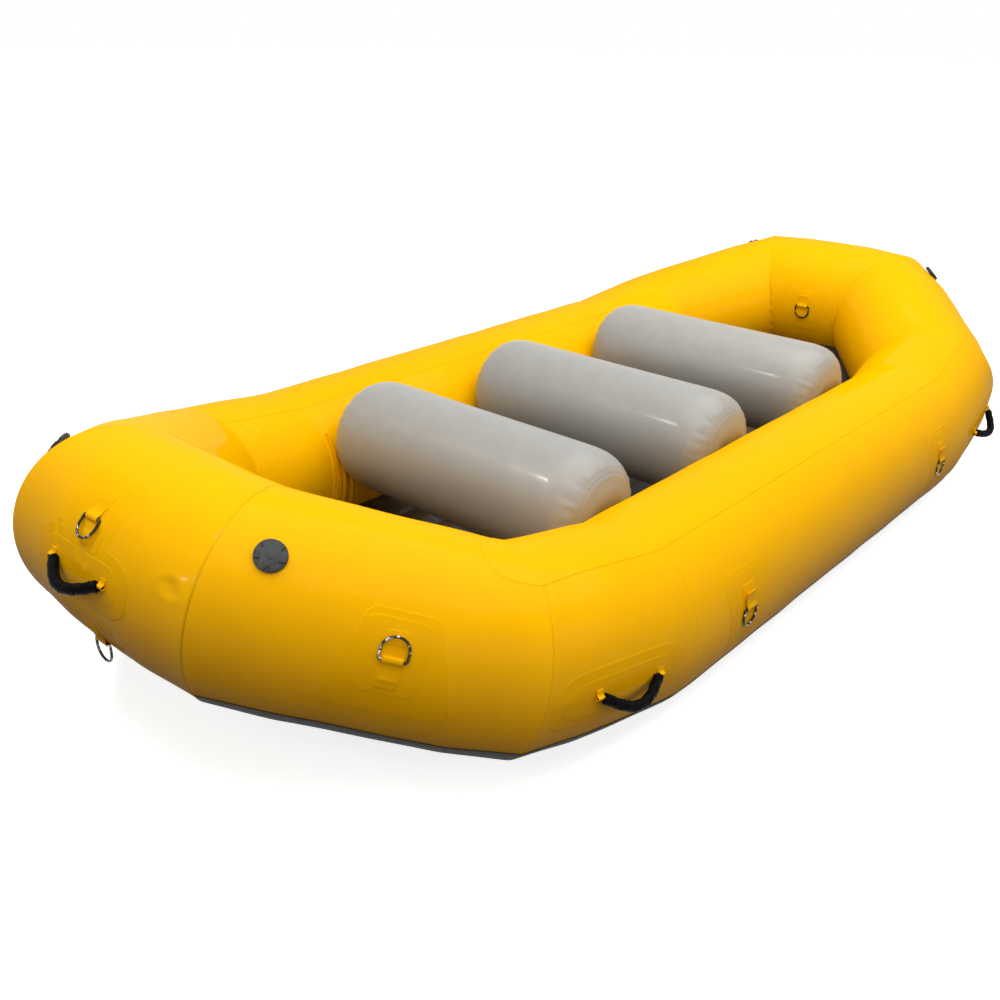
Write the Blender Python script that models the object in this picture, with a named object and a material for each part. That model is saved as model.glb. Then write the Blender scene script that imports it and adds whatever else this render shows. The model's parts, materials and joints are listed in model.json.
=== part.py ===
"""A self-bailing whitewater raft: welded tube panels, thwarts, floor, valves, rings and handles.

Metres, +Z up, +X towards the bow, +Y to port. The origin is on the ground under the middle of the raft.
"""

import math

import bmesh
import bpy
from mathutils import Matrix, Vector

# Shared values
CLEARANCE = 0.0003
OVERRUN = 0.05
ROUNDING_SHARE = 0.000001
SMOOTH_BELOW = math.radians(40)

# Main tube, a ring of twelve straight panels whose corners are softened by the air pressure
TUBE_RADIUS = 0.254
TUBE_WALL = 0.0013
TUBE_SIDES = 24
HALF_BEAM_OF_AXES = 0.7126
SIDE_LENGTH = 1.831
HALF_END_LENGTH = 0.2676
SHOULDER_RUN = 0.4074
SHOULDER_INSET = 0.0500
SHOULDER_RISE = 0.0600
QUARTER_RUN = 0.4200
QUARTER_RISE = 0.1790
SIDE_CORNER_BLEND = 0.05
SHOULDER_CORNER_BLEND = 0.11
END_CORNER_BLEND = 0.14
CORNER_FULLNESS_SHARE = 0.72

# Wear strips under the side tubes
CHAFE_WALL = 0.002
CHAFE_INNER_ANGLE = math.radians(-112.5)
CHAFE_OUTER_ANGLE = math.radians(-37.5)

# Baffles that part the ring into four chambers
BAFFLE_WALL = 0.001
BAFFLE_FLAT_RADIUS = 0.09
BAFFLE_DEPTH = 0.07

# Thwarts
THWART_RADIUS = 0.1836
THWART_WALL = 0.0013
THWART_SIDES = 24
THWART_TUCK = 0.0674
THWART_AXIS_ABOVE_TUBE_AXIS = 0.142
THWART_PLACE_SHARES = {"fore": 0.38968, "middle": 0.02190, "aft": -0.37537}
THWART_END_LENGTH_SHARES = (0.20, 0.10, 0.03, 0.0)
THWART_END_RADIUS_SHARES = (1.0, 0.91, 0.70, 0.30)

# Inflated floor, laced to the tubes all round
FLOOR_THICKNESS_SHARE = 0.3937
FLOOR_WALL = 0.0016
FLOOR_TUCK_SHARE = 0.3937
FLOOR_SEAT_ANGLE = math.radians(225)

# Air valves
VALVE_FLANGE_RADIUS = 0.036
VALVE_FLANGE_HEIGHT = 0.004
VALVE_BARREL_RADIUS = 0.024
VALVE_BARREL_BORE = 0.019
VALVE_BARREL_DEPTH = 0.030
VALVE_LIFT = 0.002
VALVE_CAP_HEIGHT = 0.006
VALVE_PLUG_LENGTH = 0.012
VALVE_NOTCH_COUNT = 6
VALVE_NOTCH_DEPTH = 0.005
VALVE_NOTCH_WIDTH = 0.006
VALVE_SIDES = 18
VALVE_ANGLE = math.radians(52)
VALVE_FROM_CORNER = 0.072
VALVE_PLUG_PLAY = 0.0005
SMALL_VALVE_RADIUS = 0.024
SMALL_VALVE_HEIGHT = 0.006
SMALL_VALVE_BARREL_RADIUS = 0.015
SMALL_VALVE_BARREL_DEPTH = 0.020
THWART_VALVE_SHARE = 0.55
THWART_VALVE_ANGLE = math.radians(195)
FLOOR_VALVE_SHARE = 0.47713

# Steel D-rings on webbing loops
RING_WIRE_RADIUS = 0.003
RING_WIDTH = 0.058
RING_DROP = 0.050
RING_ARC_STEPS = 7
LOOP_WIDTH = 0.040
LOOP_WALL = 0.0022
LOOP_PLAY = 0.0008
LOOP_STEM_LENGTH = 0.030
PATCH_WALL = 0.0015
PATCH_WIDTH = 0.150
PATCH_HEIGHT = 0.140
PATCH_EMBED = 0.0007
LOOP_ROUND_STEPS = 8
SIDE_RING_FROM_CORNER = 0.24
QUARTER_RING_FROM_CORNER = 0.32
SIDE_RING_ANGLE = math.radians(5)
QUARTER_RING_ANGLE = math.radians(16)
UPPER_RING_ANGLE = math.radians(42)
LOWER_RING_ANGLE = math.radians(-32)
INNER_RING_ANGLE = math.radians(178)

# Grab handles
HANDLE_SPAN = 0.200
HANDLE_SAG = 0.047
HANDLE_GRIP_RADIUS = 0.014
HANDLE_END_RADIUS = 0.008
HANDLE_END_LENGTH = 0.014
HANDLE_STEPS = 8
HANDLE_REST_ANGLE = math.radians(50)
SHOULDER_HANDLE_FROM_CORNER = 0.18
SHOULDER_HANDLE_ANGLE = math.radians(-3)
END_HANDLE_ANGLE = math.radians(14)

# Derived heights and corners
FACET_SHARE = math.cos(math.pi / TUBE_SIDES)
TUBE_AXIS_HEIGHT = CHAFE_WALL + CLEARANCE + TUBE_RADIUS * FACET_SHARE
THWART_HALF_LENGTH = HALF_BEAM_OF_AXES - TUBE_RADIUS + THWART_TUCK
THWART_PLACES = {name: SIDE_LENGTH * share for name, share in THWART_PLACE_SHARES.items()}
FLOOR_THICKNESS = TUBE_RADIUS * FLOOR_THICKNESS_SHARE
FLOOR_TUCK = TUBE_RADIUS * FLOOR_TUCK_SHARE
SHOULDER_X = SIDE_LENGTH / 2 + SHOULDER_RUN
SHOULDER_Y = HALF_BEAM_OF_AXES - SHOULDER_INSET
SHOULDER_Z = TUBE_AXIS_HEIGHT + SHOULDER_RISE
QUARTER_X = SHOULDER_X + QUARTER_RUN
QUARTER_Y = HALF_END_LENGTH
QUARTER_Z = SHOULDER_Z + QUARTER_RISE

PORT_BOW_CORNERS = (
    (Vector((QUARTER_X, QUARTER_Y, QUARTER_Z)), END_CORNER_BLEND),
    (Vector((SHOULDER_X, SHOULDER_Y, SHOULDER_Z)), SHOULDER_CORNER_BLEND),
    (Vector((SIDE_LENGTH / 2, HALF_BEAM_OF_AXES, TUBE_AXIS_HEIGHT)), SIDE_CORNER_BLEND),
)


def frame_of(along, upward, outward, place):
    return Matrix((
        (along.x, upward.x, outward.x, place.x),
        (along.y, upward.y, outward.y, place.y),
        (along.z, upward.z, outward.z, place.z),
        (0, 0, 0, 1),
    ))


def mirrored(point, along_x, along_y):
    return Vector((point.x * along_x, point.y * along_y, point.z))


def loop_corners():
    """The twelve corners of the tube's axis, anticlockwise from the bow's starboard corner."""
    port_bow = PORT_BOW_CORNERS
    port_stern = [(mirrored(place, -1, 1), blend) for place, blend in reversed(port_bow)]
    starboard_stern = [(mirrored(place, -1, -1), blend) for place, blend in port_bow]
    starboard_bow = [(mirrored(place, 1, -1), blend) for place, blend in reversed(port_bow)]
    return starboard_bow[-1:] + list(port_bow) + port_stern + starboard_stern + starboard_bow[:-1]


CORNERS = loop_corners()
PANEL_NAMES = (
    "bow_panel", "bow_quarter_panel_port", "bow_shoulder_panel_port", "side_panel_port",
    "stern_shoulder_panel_port", "stern_quarter_panel_port", "stern_panel",
    "stern_quarter_panel_starboard", "stern_shoulder_panel_starboard", "side_panel_starboard",
    "bow_shoulder_panel_starboard", "bow_quarter_panel_starboard",
)


class Section:
    """A cross-section of the tube: its centre, and what one metre outwards and upwards become there."""

    def __init__(self, centre, out, up):
        self.centre = centre
        self.out = out
        self.up = up

    def point(self, angle, radius):
        return self.centre + (math.cos(angle) * self.out + math.sin(angle) * self.up) * radius

    def shifted(self, by):
        return Section(self.centre + by, self.out, self.up)


def corner(index):
    return CORNERS[index % len(CORNERS)]


def direction(index):
    return (corner(index + 1)[0] - corner(index)[0]).normalized()


def panel_length(index):
    return (corner(index + 1)[0] - corner(index)[0]).length


def square_section(index, distance):
    """The round section of panel number index, at a distance from its first corner."""
    along = direction(index)
    out = along.cross(Vector((0, 0, 1))).normalized()
    return Section(corner(index)[0] + along * distance, out, out.cross(along))


def slid_to_plane(section, along, place, normal):
    """The section slid along the tube onto a slanting plane, as a mitre cuts it."""
    def slide(vector):
        return vector - along * (vector.dot(normal) / along.dot(normal))
    centre = section.centre + along * ((place - section.centre).dot(normal) / along.dot(normal))
    return Section(centre, slide(section.out), slide(section.up))


def weighted(sections, weights):
    pairs = list(zip(sections, weights))
    return Section(
        sum((section.centre * weight for section, weight in pairs), Vector()),
        sum((section.out * weight for section, weight in pairs), Vector()),
        sum((section.up * weight for section, weight in pairs), Vector()),
    )


def mitre_section(index):
    """The mitre at corner number index, the mean of the two panels' cuts."""
    before = direction(index - 1)
    after = direction(index)
    place = corner(index)[0]
    normal = (before + after).normalized()
    first = slid_to_plane(square_section(index - 1, 0), before, place, normal)
    second = slid_to_plane(square_section(index, 0), after, place, normal)
    return weighted((first, second), (0.5, 0.5))


def bend_start(index):
    """Where the tube begins to bend before corner number index."""
    return square_section(index - 1, panel_length(index - 1) - corner(index)[1])


def bend_end(index):
    """Where the tube is straight again after corner number index."""
    return square_section(index, corner(index)[1])


def seam_section(index):
    """The seam at a corner: the mitre, pulled in a little between the bend's two ends."""
    side_share = (1 - CORNER_FULLNESS_SHARE) / 2
    sections = (bend_start(index), mitre_section(index), bend_end(index))
    return weighted(sections, (side_share, CORNER_FULLNESS_SHARE, side_share))


def tube_section(index, distance):
    """The section of panel number index at any distance along its axis."""
    left = panel_length(index) - distance
    first_blend = corner(index)[1]
    last_blend = corner(index + 1)[1]
    if distance < first_blend:
        share = distance / first_blend
        return weighted((seam_section(index), bend_end(index)), (1 - share, share))
    if left < last_blend:
        share = left / last_blend
        return weighted((seam_section(index + 1), bend_start(index + 1)), (1 - share, share))
    return square_section(index, distance)


def panel_frame(index):
    """A frame on a panel's axis, midway: x along it, y up across it, z outwards."""
    middle = square_section(index, panel_length(index) / 2)
    return frame_of(direction(index), middle.up, middle.out, middle.centre)


def panel_sections(index):
    """The sections that a panel is lofted through, its ends half a seam's gap short of the corners."""
    seam = CLEARANCE / 2
    first = seam_section(index).shifted((direction(index - 1) + direction(index)).normalized() * seam)
    last = seam_section(index + 1).shifted(-(direction(index) + direction(index + 1)).normalized() * seam)
    return [first, bend_end(index), bend_start(index + 1), last]


def facet_angles(low, high):
    """The angles of the tube's edges that cover a stretch of its section."""
    step = math.tau / TUBE_SIDES
    first = math.floor(low / step - 0.5 + ROUNDING_SHARE)
    last = math.ceil(high / step - 0.5 - ROUNDING_SHARE)
    return [(number + 0.5) * step for number in range(first, last + 1)]


# Solids

def new_collection(name):
    collection = bpy.data.collections.new(name)
    bpy.context.scene.collection.children.link(collection)
    return collection


def clear_scene():
    for thing in list(bpy.data.objects):
        bpy.data.objects.remove(thing, do_unlink=True)


def finished(name, mesh_builder, collection, material=None):
    """An object from a bmesh, its faces turned outwards."""
    bmesh.ops.recalc_face_normals(mesh_builder, faces=mesh_builder.faces)
    mesh = bpy.data.meshes.new(name)
    mesh_builder.to_mesh(mesh)
    mesh_builder.free()
    thing = bpy.data.objects.new(name, mesh)
    collection.objects.link(thing)
    if material:
        mesh.materials.append(material)
    return thing


def add_split_quad(builder, corners):
    """Two triangles on four corners, split along the shorter diagonal, so that stacked walls split alike."""
    first, second, third, fourth = corners
    diagonal = (third.co - first.co).length
    if diagonal * (1 - ROUNDING_SHARE) > (fourth.co - second.co).length:
        first, second, third, fourth = second, third, fourth, first
    builder.faces.new((first, second, third))
    builder.faces.new((first, third, fourth))


def loft(name, loops, closed_path, collection, material=None):
    """A solid through loops of points with as many points each, capped unless its path closes."""
    builder = bmesh.new()
    rows = [[builder.verts.new(point) for point in loop] for loop in loops]
    pairs = list(zip(rows, rows[1:]))
    if closed_path:
        pairs.append((rows[-1], rows[0]))
    for row, after in pairs:
        for i, vertex in enumerate(row):
            j = (i + 1) % len(row)
            add_split_quad(builder, (vertex, row[j], after[j], after[i]))
    if not closed_path:
        builder.faces.new(rows[0])
        builder.faces.new(rows[-1])
    return finished(name, builder, collection, material)


def tube_shell(name, sections, inner, outer, collection, material=None):
    """A round wall between two radii, open at both ends."""
    angles = facet_angles(0, math.tau)[:TUBE_SIDES]
    outside = [[section.point(angle, outer) for angle in angles] for section in sections]
    inside = [[section.point(angle, inner) for angle in angles] for section in reversed(sections)]
    return loft(name, outside + inside, True, collection, material)


def tube_strip(name, sections, angles, inner, outer, collection, material=None):
    """A wall between two radii that covers only some of the section, split as the panel under it."""
    loops = []
    for section in sections:
        inside = [section.point(angle, inner) for angle in angles]
        outside = [section.point(angle, outer) for angle in reversed(angles)]
        loops.append(inside + outside)
    return loft(name, loops, False, collection, material)


def applied(thing):
    """Makes an object's modifiers and place part of its mesh."""
    graph = bpy.context.evaluated_depsgraph_get()
    mesh = bpy.data.meshes.new_from_object(thing.evaluated_get(graph))
    mesh.transform(thing.matrix_world)
    old = thing.data
    thing.modifiers.clear()
    thing.data = mesh
    thing.matrix_world = Matrix()
    bpy.data.meshes.remove(old)
    return thing


def without_slivers(mesh):
    """Merges the corners that a cut leaves closer together than the joints' clearance."""
    builder = bmesh.new()
    builder.from_mesh(mesh)
    bmesh.ops.remove_doubles(builder, verts=builder.verts, dist=CLEARANCE / 2)
    bmesh.ops.dissolve_degenerate(builder, edges=builder.edges, dist=CLEARANCE / 10)
    builder.to_mesh(mesh)
    builder.free()


def combined(thing, tools, operation, solver="EXACT"):
    """Cuts, joins or trims an object with others, which are used up."""
    for tool in tools:
        cut = thing.modifiers.new("cut", "BOOLEAN")
        cut.operation = operation
        cut.object = tool
        cut.solver = solver
    bpy.context.view_layer.update()
    applied(thing)
    without_slivers(thing.data)
    for tool in tools:
        old = tool.data
        bpy.data.objects.remove(tool, do_unlink=True)
        bpy.data.meshes.remove(old)
    return thing


def seated(thing, frame):
    """Moves an object's origin into a frame, so that its location and rotation are the frame's."""
    thing.data.transform(frame.inverted())
    thing.matrix_world = frame
    return thing


def round_bar(name, radius, low, high, frame, sides, collection, material=None):
    """A cylinder along the frame's z axis."""
    builder = bmesh.new()
    place = frame @ Matrix.Translation((0, 0, (low + high) / 2))
    bmesh.ops.create_cone(builder, cap_ends=True, segments=sides, radius1=radius, radius2=radius,
                          depth=high - low, matrix=place)
    return finished(name, builder, collection, material)


def box(name, low, high, frame, collection, material=None):
    builder = bmesh.new()
    bmesh.ops.create_cube(builder, size=1)
    size = Vector(high) - Vector(low)
    middle = (Vector(high) + Vector(low)) / 2
    bmesh.ops.transform(builder, matrix=frame @ Matrix.Translation(middle) @ Matrix.Diagonal((*size, 1)),
                        verts=builder.verts)
    return finished(name, builder, collection, material)


def curve_solid(name, splines, frame, collection, material=None, **values):
    """A mesh from a curve object whose values make it a bar or an outline of some thickness."""
    curve = bpy.data.curves.new(name, "CURVE")
    curve.dimensions = values.pop("dimensions", "3D")
    for key, value in values.items():
        setattr(curve, key, value)
    for points, radii, cyclic in splines:
        spline = curve.splines.new("POLY")
        spline.points.add(len(points) - 1)
        spline.use_cyclic_u = cyclic
        for vertex, point, radius in zip(spline.points, points, radii):
            vertex.co = (*point, 1)
            vertex.radius = radius
    thing = bpy.data.objects.new(name, curve)
    collection.objects.link(thing)
    bpy.context.view_layer.update()
    graph = bpy.context.evaluated_depsgraph_get()
    mesh = bpy.data.meshes.new_from_object(thing.evaluated_get(graph))
    bpy.data.objects.remove(thing, do_unlink=True)
    bpy.data.curves.remove(curve)
    builder = bmesh.new()
    builder.from_mesh(mesh)
    bpy.data.meshes.remove(mesh)
    bmesh.ops.remove_doubles(builder, verts=builder.verts, dist=CLEARANCE / 10)
    bmesh.ops.transform(builder, matrix=frame, verts=builder.verts)
    return finished(name, builder, collection, material)


def painted(name, color, roughness, metallic=0.0):
    material = bpy.data.materials.new(name)
    material.use_nodes = True
    shader = material.node_tree.nodes["Principled BSDF"]
    shader.inputs["Base Color"].default_value = (*color, 1)
    shader.inputs["Roughness"].default_value = roughness
    shader.inputs["Metallic"].default_value = metallic
    return material


# Places on the tube

def facet_frame(index, distance, angle):
    """A frame on the tube's flat facet: x along the tube, y round it, z outwards."""
    step = math.tau / TUBE_SIDES
    middle = math.floor(angle / step + 0.5) * step
    section = tube_section(index, distance)
    ahead = tube_section(index, distance + CLEARANCE)
    behind = tube_section(index, distance - CLEARANCE)
    along = (ahead.point(angle, TUBE_RADIUS) - behind.point(angle, TUBE_RADIUS)).normalized()
    low = section.point(middle - step / 2, TUBE_RADIUS)
    high = section.point(middle + step / 2, TUBE_RADIUS)
    upward = (high - low).normalized()
    outward = along.cross(upward).normalized()
    upward = outward.cross(along)
    share = (math.tan(angle - middle) / math.tan(step / 2) + 1) / 2
    return frame_of(along, upward, outward, low.lerp(high, share))


def from_bow_end(index, distance):
    """Measures a place on a panel from its end nearer the bow."""
    first, last = corner(index)[0], corner(index + 1)[0]
    return distance if first.x >= last.x else panel_length(index) - distance


def from_raft_end(index, distance):
    """Measures a place on a panel from its end nearer the raft's own end."""
    first, last = corner(index)[0], corner(index + 1)[0]
    return distance if abs(first.x) >= abs(last.x) else panel_length(index) - distance


def downward_side(frame):
    """Which way round the tube is down at a frame: 1 along the frame's y axis, or -1 against it."""
    return -1 if frame.col[1].z > 0 else 1


def hanging_angle(frame, least):
    """The angle from the tube's surface at which a piece hangs free, but no less than least."""
    down = frame.col[1].to_3d() * downward_side(frame)
    return max(math.atan2(-frame.col[2].z, -down.z), least)


def swing_frame(frame, standoff, angle):
    """The frame of a swinging piece: x on its hinge, y the way it hangs, standing off the tube."""
    side = downward_side(frame)
    turned = Matrix.Rotation(angle * side, 4, "X")
    flipped = Matrix.Diagonal((side, side, 1, 1))
    return frame @ Matrix.Translation((0, 0, standoff)) @ turned @ flipped


# Main tube

def make_panels(parts, cutters, material):
    for index, name in enumerate(PANEL_NAMES):
        panel = tube_shell(name, panel_sections(index), TUBE_RADIUS - TUBE_WALL, TUBE_RADIUS, parts, material)
        if "quarter" in name:
            hole = round_bar("hole", VALVE_BARREL_RADIUS + CLEARANCE, -OVERRUN, OVERRUN, valve_frame(index),
                             VALVE_SIDES, cutters)
            combined(panel, [hole], "DIFFERENCE", "MANIFOLD")
        seated(panel, panel_frame(index))


def make_baffles(parts, material):
    rim = TUBE_RADIUS - TUBE_WALL - CLEARANCE
    angles = facet_angles(0, math.tau)[:TUBE_SIDES]
    for name, index in (("bow", 0), ("port", 3), ("stern", 6), ("starboard", 9)):
        along = direction(index)
        section = square_section(index, panel_length(index) / 2)
        profile = (
            (BAFFLE_FLAT_RADIUS, BAFFLE_DEPTH), (rim, 0), (rim, BAFFLE_WALL),
            (BAFFLE_FLAT_RADIUS, BAFFLE_DEPTH + BAFFLE_WALL),
        )
        loops = [[section.shifted(along * ahead).point(angle, radius) for angle in angles]
                 for radius, ahead in profile]
        seated(loft(f"chamber_baffle_{name}", loops, False, parts, material), panel_frame(index))


def make_chafe_strips(parts, material):
    inner = TUBE_RADIUS + CLEARANCE
    angles = facet_angles(CHAFE_INNER_ANGLE, CHAFE_OUTER_ANGLE)
    for name, first in (("port", 1), ("starboard", 7)):
        sections = []
        for index in range(first, first + 5):
            sections += [seam_section(index), bend_end(index), bend_start(index + 1)]
        sections.append(seam_section(first + 5))
        strip = tube_strip(f"chafe_strip_{name}", sections, angles, inner, inner + CHAFE_WALL, parts, material)
        seated(strip, panel_frame(first + 2))


# What lies inside the ring

def ring_core(name, radius, collection):
    """The whole tube ring, filled, which trims the thwarts and the floor where they meet it."""
    angles = facet_angles(0, math.tau)[:TUBE_SIDES]
    sections = []
    for index in range(len(CORNERS)):
        sections += [bend_start(index), seam_section(index), bend_end(index)]
    loops = [[section.point(angle, radius) for angle in angles] for section in sections]
    return loft(name, loops, True, collection)


def thwart_form(name, wall, place, cutters, material=None):
    """A thwart's outer skin as a solid, or the air inside it when wall is its thickness."""
    step = math.tau / THWART_SIDES
    half = THWART_HALF_LENGTH - wall
    end = [(half * (1 - length), share) for length, share in
           zip(THWART_END_LENGTH_SHARES, THWART_END_RADIUS_SHARES)]
    profile = [(-y, share) for y, share in reversed(end)] + end
    loops = []
    for y, share in profile:
        radius = (THWART_RADIUS - wall) * share
        loops.append([
            place + Vector((math.cos(turn * step) * radius, y, math.sin(turn * step) * radius))
            for turn in [number + 0.5 for number in range(THWART_SIDES)]
        ])
    form = loft(name, loops, False, cutters, material)
    core = ring_core("core", TUBE_RADIUS + CLEARANCE + wall, cutters)
    return combined(form, [core], "DIFFERENCE")


def thwart_place(x):
    return Vector((x, 0, TUBE_AXIS_HEIGHT + THWART_AXIS_ABOVE_TUBE_AXIS))


def thwart_valve_frame(x):
    """On the thwart's side that faces the stern, near its starboard end."""
    turn = Matrix.Rotation(-THWART_VALVE_ANGLE, 4, "Y") @ Matrix.Rotation(math.pi / 2, 4, "Y")
    flat = THWART_RADIUS * math.cos(math.pi / THWART_SIDES)
    start = thwart_place(x) + Vector((0, -THWART_HALF_LENGTH * THWART_VALVE_SHARE, 0))
    return Matrix.Translation(start) @ turn @ Matrix.Translation((0, 0, flat))


def make_thwarts(parts, cutters, material, valve_material):
    for name, x in THWART_PLACES.items():
        skin = thwart_form(f"thwart_{name}", 0, thwart_place(x), cutters, material)
        air = thwart_form("air", THWART_WALL, thwart_place(x), cutters)
        frame = thwart_valve_frame(x)
        hole = round_bar("hole", SMALL_VALVE_BARREL_RADIUS + CLEARANCE, -OVERRUN, OVERRUN, frame,
                         VALVE_SIDES, cutters)
        combined(skin, [air, hole], "DIFFERENCE")
        seated(skin, Matrix.Translation(thwart_place(x)))
        cutters.objects.unlink(skin)
        parts.objects.link(skin)
        make_small_valve(f"thwart_{name}_valve", frame, parts, valve_material)


def floor_seats():
    """Where the floor's middle layer bends, from the bow to amidships."""
    return [mitre_section(index).point(FLOOR_SEAT_ANGLE, TUBE_RADIUS) for index in (1, 2, 3)]


def floor_form(name, wall, cutters, material=None):
    """The floor's outer skin as a solid, or the air inside it when wall is its thickness."""
    half = FLOOR_THICKNESS / 2 - wall
    seats = floor_seats()
    rise = (seats[0].z - seats[1].z) / (seats[0].x - seats[1].x)
    end = QUARTER_X
    seats.insert(0, Vector((end, 0, seats[0].z + rise * (end - seats[0].x))))
    stations = seats + [Vector((-seat.x, 0, seat.z)) for seat in reversed(seats)]
    width = HALF_BEAM_OF_AXES
    loops = [[(seat.x, -width, seat.z - half), (seat.x, width, seat.z - half),
              (seat.x, width, seat.z + half), (seat.x, -width, seat.z + half)] for seat in stations]
    form = loft(name, loops, False, cutters, material)
    edge = [mitre_section(index).point(math.pi, FLOOR_TUCK + wall) for index in range(len(CORNERS))]
    outline = loft("outline", [[(point.x, point.y, z) for point in edge] for z in (-end, end)], False, cutters)
    combined(form, [outline], "INTERSECT")
    core = ring_core("core", TUBE_RADIUS + CLEARANCE + wall, cutters)
    return combined(form, [core], "DIFFERENCE", "MANIFOLD")


def floor_top():
    return floor_seats()[-1].z + FLOOR_THICKNESS / 2


def floor_valve_frame():
    """To starboard, where the floor starts to rise to the stern, clear of the level deck."""
    _, high, low = floor_seats()
    along = Vector((high.x - low.x, 0, low.z - high.z)).normalized()
    upward = Vector((0, 1, 0))
    aside = HALF_BEAM_OF_AXES * FLOOR_VALVE_SHARE
    place = Vector((-(high.x + low.x) / 2, -aside, (high.z + low.z + FLOOR_THICKNESS) / 2))
    return frame_of(along, upward, along.cross(upward), place)


def make_floor(parts, cutters, material, valve_material):
    skin = floor_form("floor", 0, cutters, material)
    air = floor_form("air", FLOOR_WALL, cutters)
    frame = floor_valve_frame()
    hole = round_bar("hole", SMALL_VALVE_BARREL_RADIUS + CLEARANCE, -OVERRUN / 2, OVERRUN, frame, VALVE_SIDES,
                     cutters)
    combined(skin, [air, hole], "DIFFERENCE")
    seated(skin, Matrix.Translation((0, 0, floor_top() - FLOOR_THICKNESS / 2)))
    cutters.objects.unlink(skin)
    parts.objects.link(skin)
    make_small_valve("floor_valve", frame, parts, valve_material)


# Valves

def valve_frame(index):
    return facet_frame(index, from_raft_end(index, VALVE_FROM_CORNER), VALVE_ANGLE)


def make_small_valve(name, frame, parts, material):
    barrel = round_bar("barrel", SMALL_VALVE_BARREL_RADIUS, -SMALL_VALVE_BARREL_DEPTH,
                       CLEARANCE + SMALL_VALVE_HEIGHT / 2, frame, VALVE_SIDES, parts)
    head = round_bar(name, SMALL_VALVE_RADIUS, CLEARANCE, CLEARANCE + SMALL_VALVE_HEIGHT, frame, VALVE_SIDES,
                     parts, material)
    combined(head, [barrel], "UNION")
    seated(head, frame)


def make_valves(parts, cutters, material, cap_material):
    for index, name in enumerate(PANEL_NAMES):
        if "quarter" not in name:
            continue
        place = name.replace("_quarter_panel", "")
        frame = valve_frame(index) @ Matrix.Translation((0, 0, VALVE_LIFT))
        body = round_bar(f"valve_body_{place}", VALVE_FLANGE_RADIUS, 0, VALVE_FLANGE_HEIGHT, frame, VALVE_SIDES,
                         parts, material)
        barrel = round_bar("barrel", VALVE_BARREL_RADIUS, -VALVE_BARREL_DEPTH, VALVE_FLANGE_HEIGHT / 2, frame,
                           VALVE_SIDES, cutters)
        bore = round_bar("bore", VALVE_BARREL_BORE, -VALVE_BARREL_DEPTH - OVERRUN, OVERRUN, frame, VALVE_SIDES,
                         cutters)
        combined(body, [barrel], "UNION")
        combined(body, [bore], "DIFFERENCE")
        seated(body, frame)
        seat = VALVE_FLANGE_HEIGHT + CLEARANCE
        cap = round_bar(f"valve_cap_{place}", VALVE_FLANGE_RADIUS, seat, seat + VALVE_CAP_HEIGHT, frame,
                        VALVE_SIDES, parts, cap_material)
        plug = round_bar("plug", VALVE_BARREL_BORE - VALVE_PLUG_PLAY, seat - VALVE_PLUG_LENGTH,
                         seat + VALVE_CAP_HEIGHT / 2, frame, VALVE_SIDES, cutters)
        combined(cap, [plug], "UNION")
        notches = []
        for number in range(VALVE_NOTCH_COUNT):
            turned = frame @ Matrix.Rotation(math.tau * number / VALVE_NOTCH_COUNT, 4, "Z")
            notches.append(box("notch", (VALVE_FLANGE_RADIUS - VALVE_NOTCH_DEPTH, -VALVE_NOTCH_WIDTH / 2, 0),
                               (VALVE_FLANGE_RADIUS + OVERRUN, VALVE_NOTCH_WIDTH / 2, OVERRUN), turned, cutters))
        combined(cap, notches, "DIFFERENCE")
        seated(cap, frame)


# D-rings

def ring_places():
    """Each D-ring's name, panel, distance along it, angle round the tube, and whether it lies folded up."""
    bow, stern, port, starboard = 0, 6, 3, 9
    middle = panel_length(bow) / 2
    places = [
        ("bow_upper", bow, middle, UPPER_RING_ANGLE, False),
        ("bow_lower", bow, middle, LOWER_RING_ANGLE, False),
        ("stern_upper", stern, middle, UPPER_RING_ANGLE, False),
        ("stern_inner", stern, middle, INNER_RING_ANGLE, False),
        ("bow_port", 1, from_raft_end(1, QUARTER_RING_FROM_CORNER), QUARTER_RING_ANGLE, True),
        ("bow_starboard", 11, from_raft_end(11, QUARTER_RING_FROM_CORNER), QUARTER_RING_ANGLE, True),
    ]
    for side, index in (("port", port), ("starboard", starboard)):
        fore = from_bow_end(index, SIDE_RING_FROM_CORNER)
        places.append((f"fore_{side}", index, fore, SIDE_RING_ANGLE, False))
        places.append((f"aft_{side}", index, panel_length(index) - fore, SIDE_RING_ANGLE, False))
    return places


LOOP_OUTER_RADIUS = RING_WIRE_RADIUS + LOOP_PLAY + LOOP_WALL
STEM_BOTTOM = (CLEARANCE + PATCH_WALL) * FACET_SHARE - PATCH_EMBED
RING_STANDOFF = STEM_BOTTOM + LOOP_OUTER_RADIUS


def ring_rest(frame, folded_up):
    """The angle from the tube's surface, turning outwards, at which a ring lies."""
    return math.pi if folded_up else hanging_angle(frame, 0)


def ring_frame(frame, folded_up):
    return swing_frame(frame, RING_STANDOFF, ring_rest(frame, folded_up))


def make_ring(name, frame, parts, material):
    """A D of steel wire, its straight bar on the hinge and its bow along the frame's y axis."""
    half = RING_WIDTH / 2
    points = [(-half, 0, 0), (half, 0, 0)]
    for number in range(RING_ARC_STEPS + 1):
        turn = math.pi * number / RING_ARC_STEPS
        points.append((half * math.cos(turn), RING_DROP - half + half * math.sin(turn), 0))
    ring = curve_solid(name, [(points, [1] * len(points), True)], frame, parts, material,
                       bevel_depth=RING_WIRE_RADIUS, bevel_resolution=1)
    seated(ring, frame)


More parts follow.
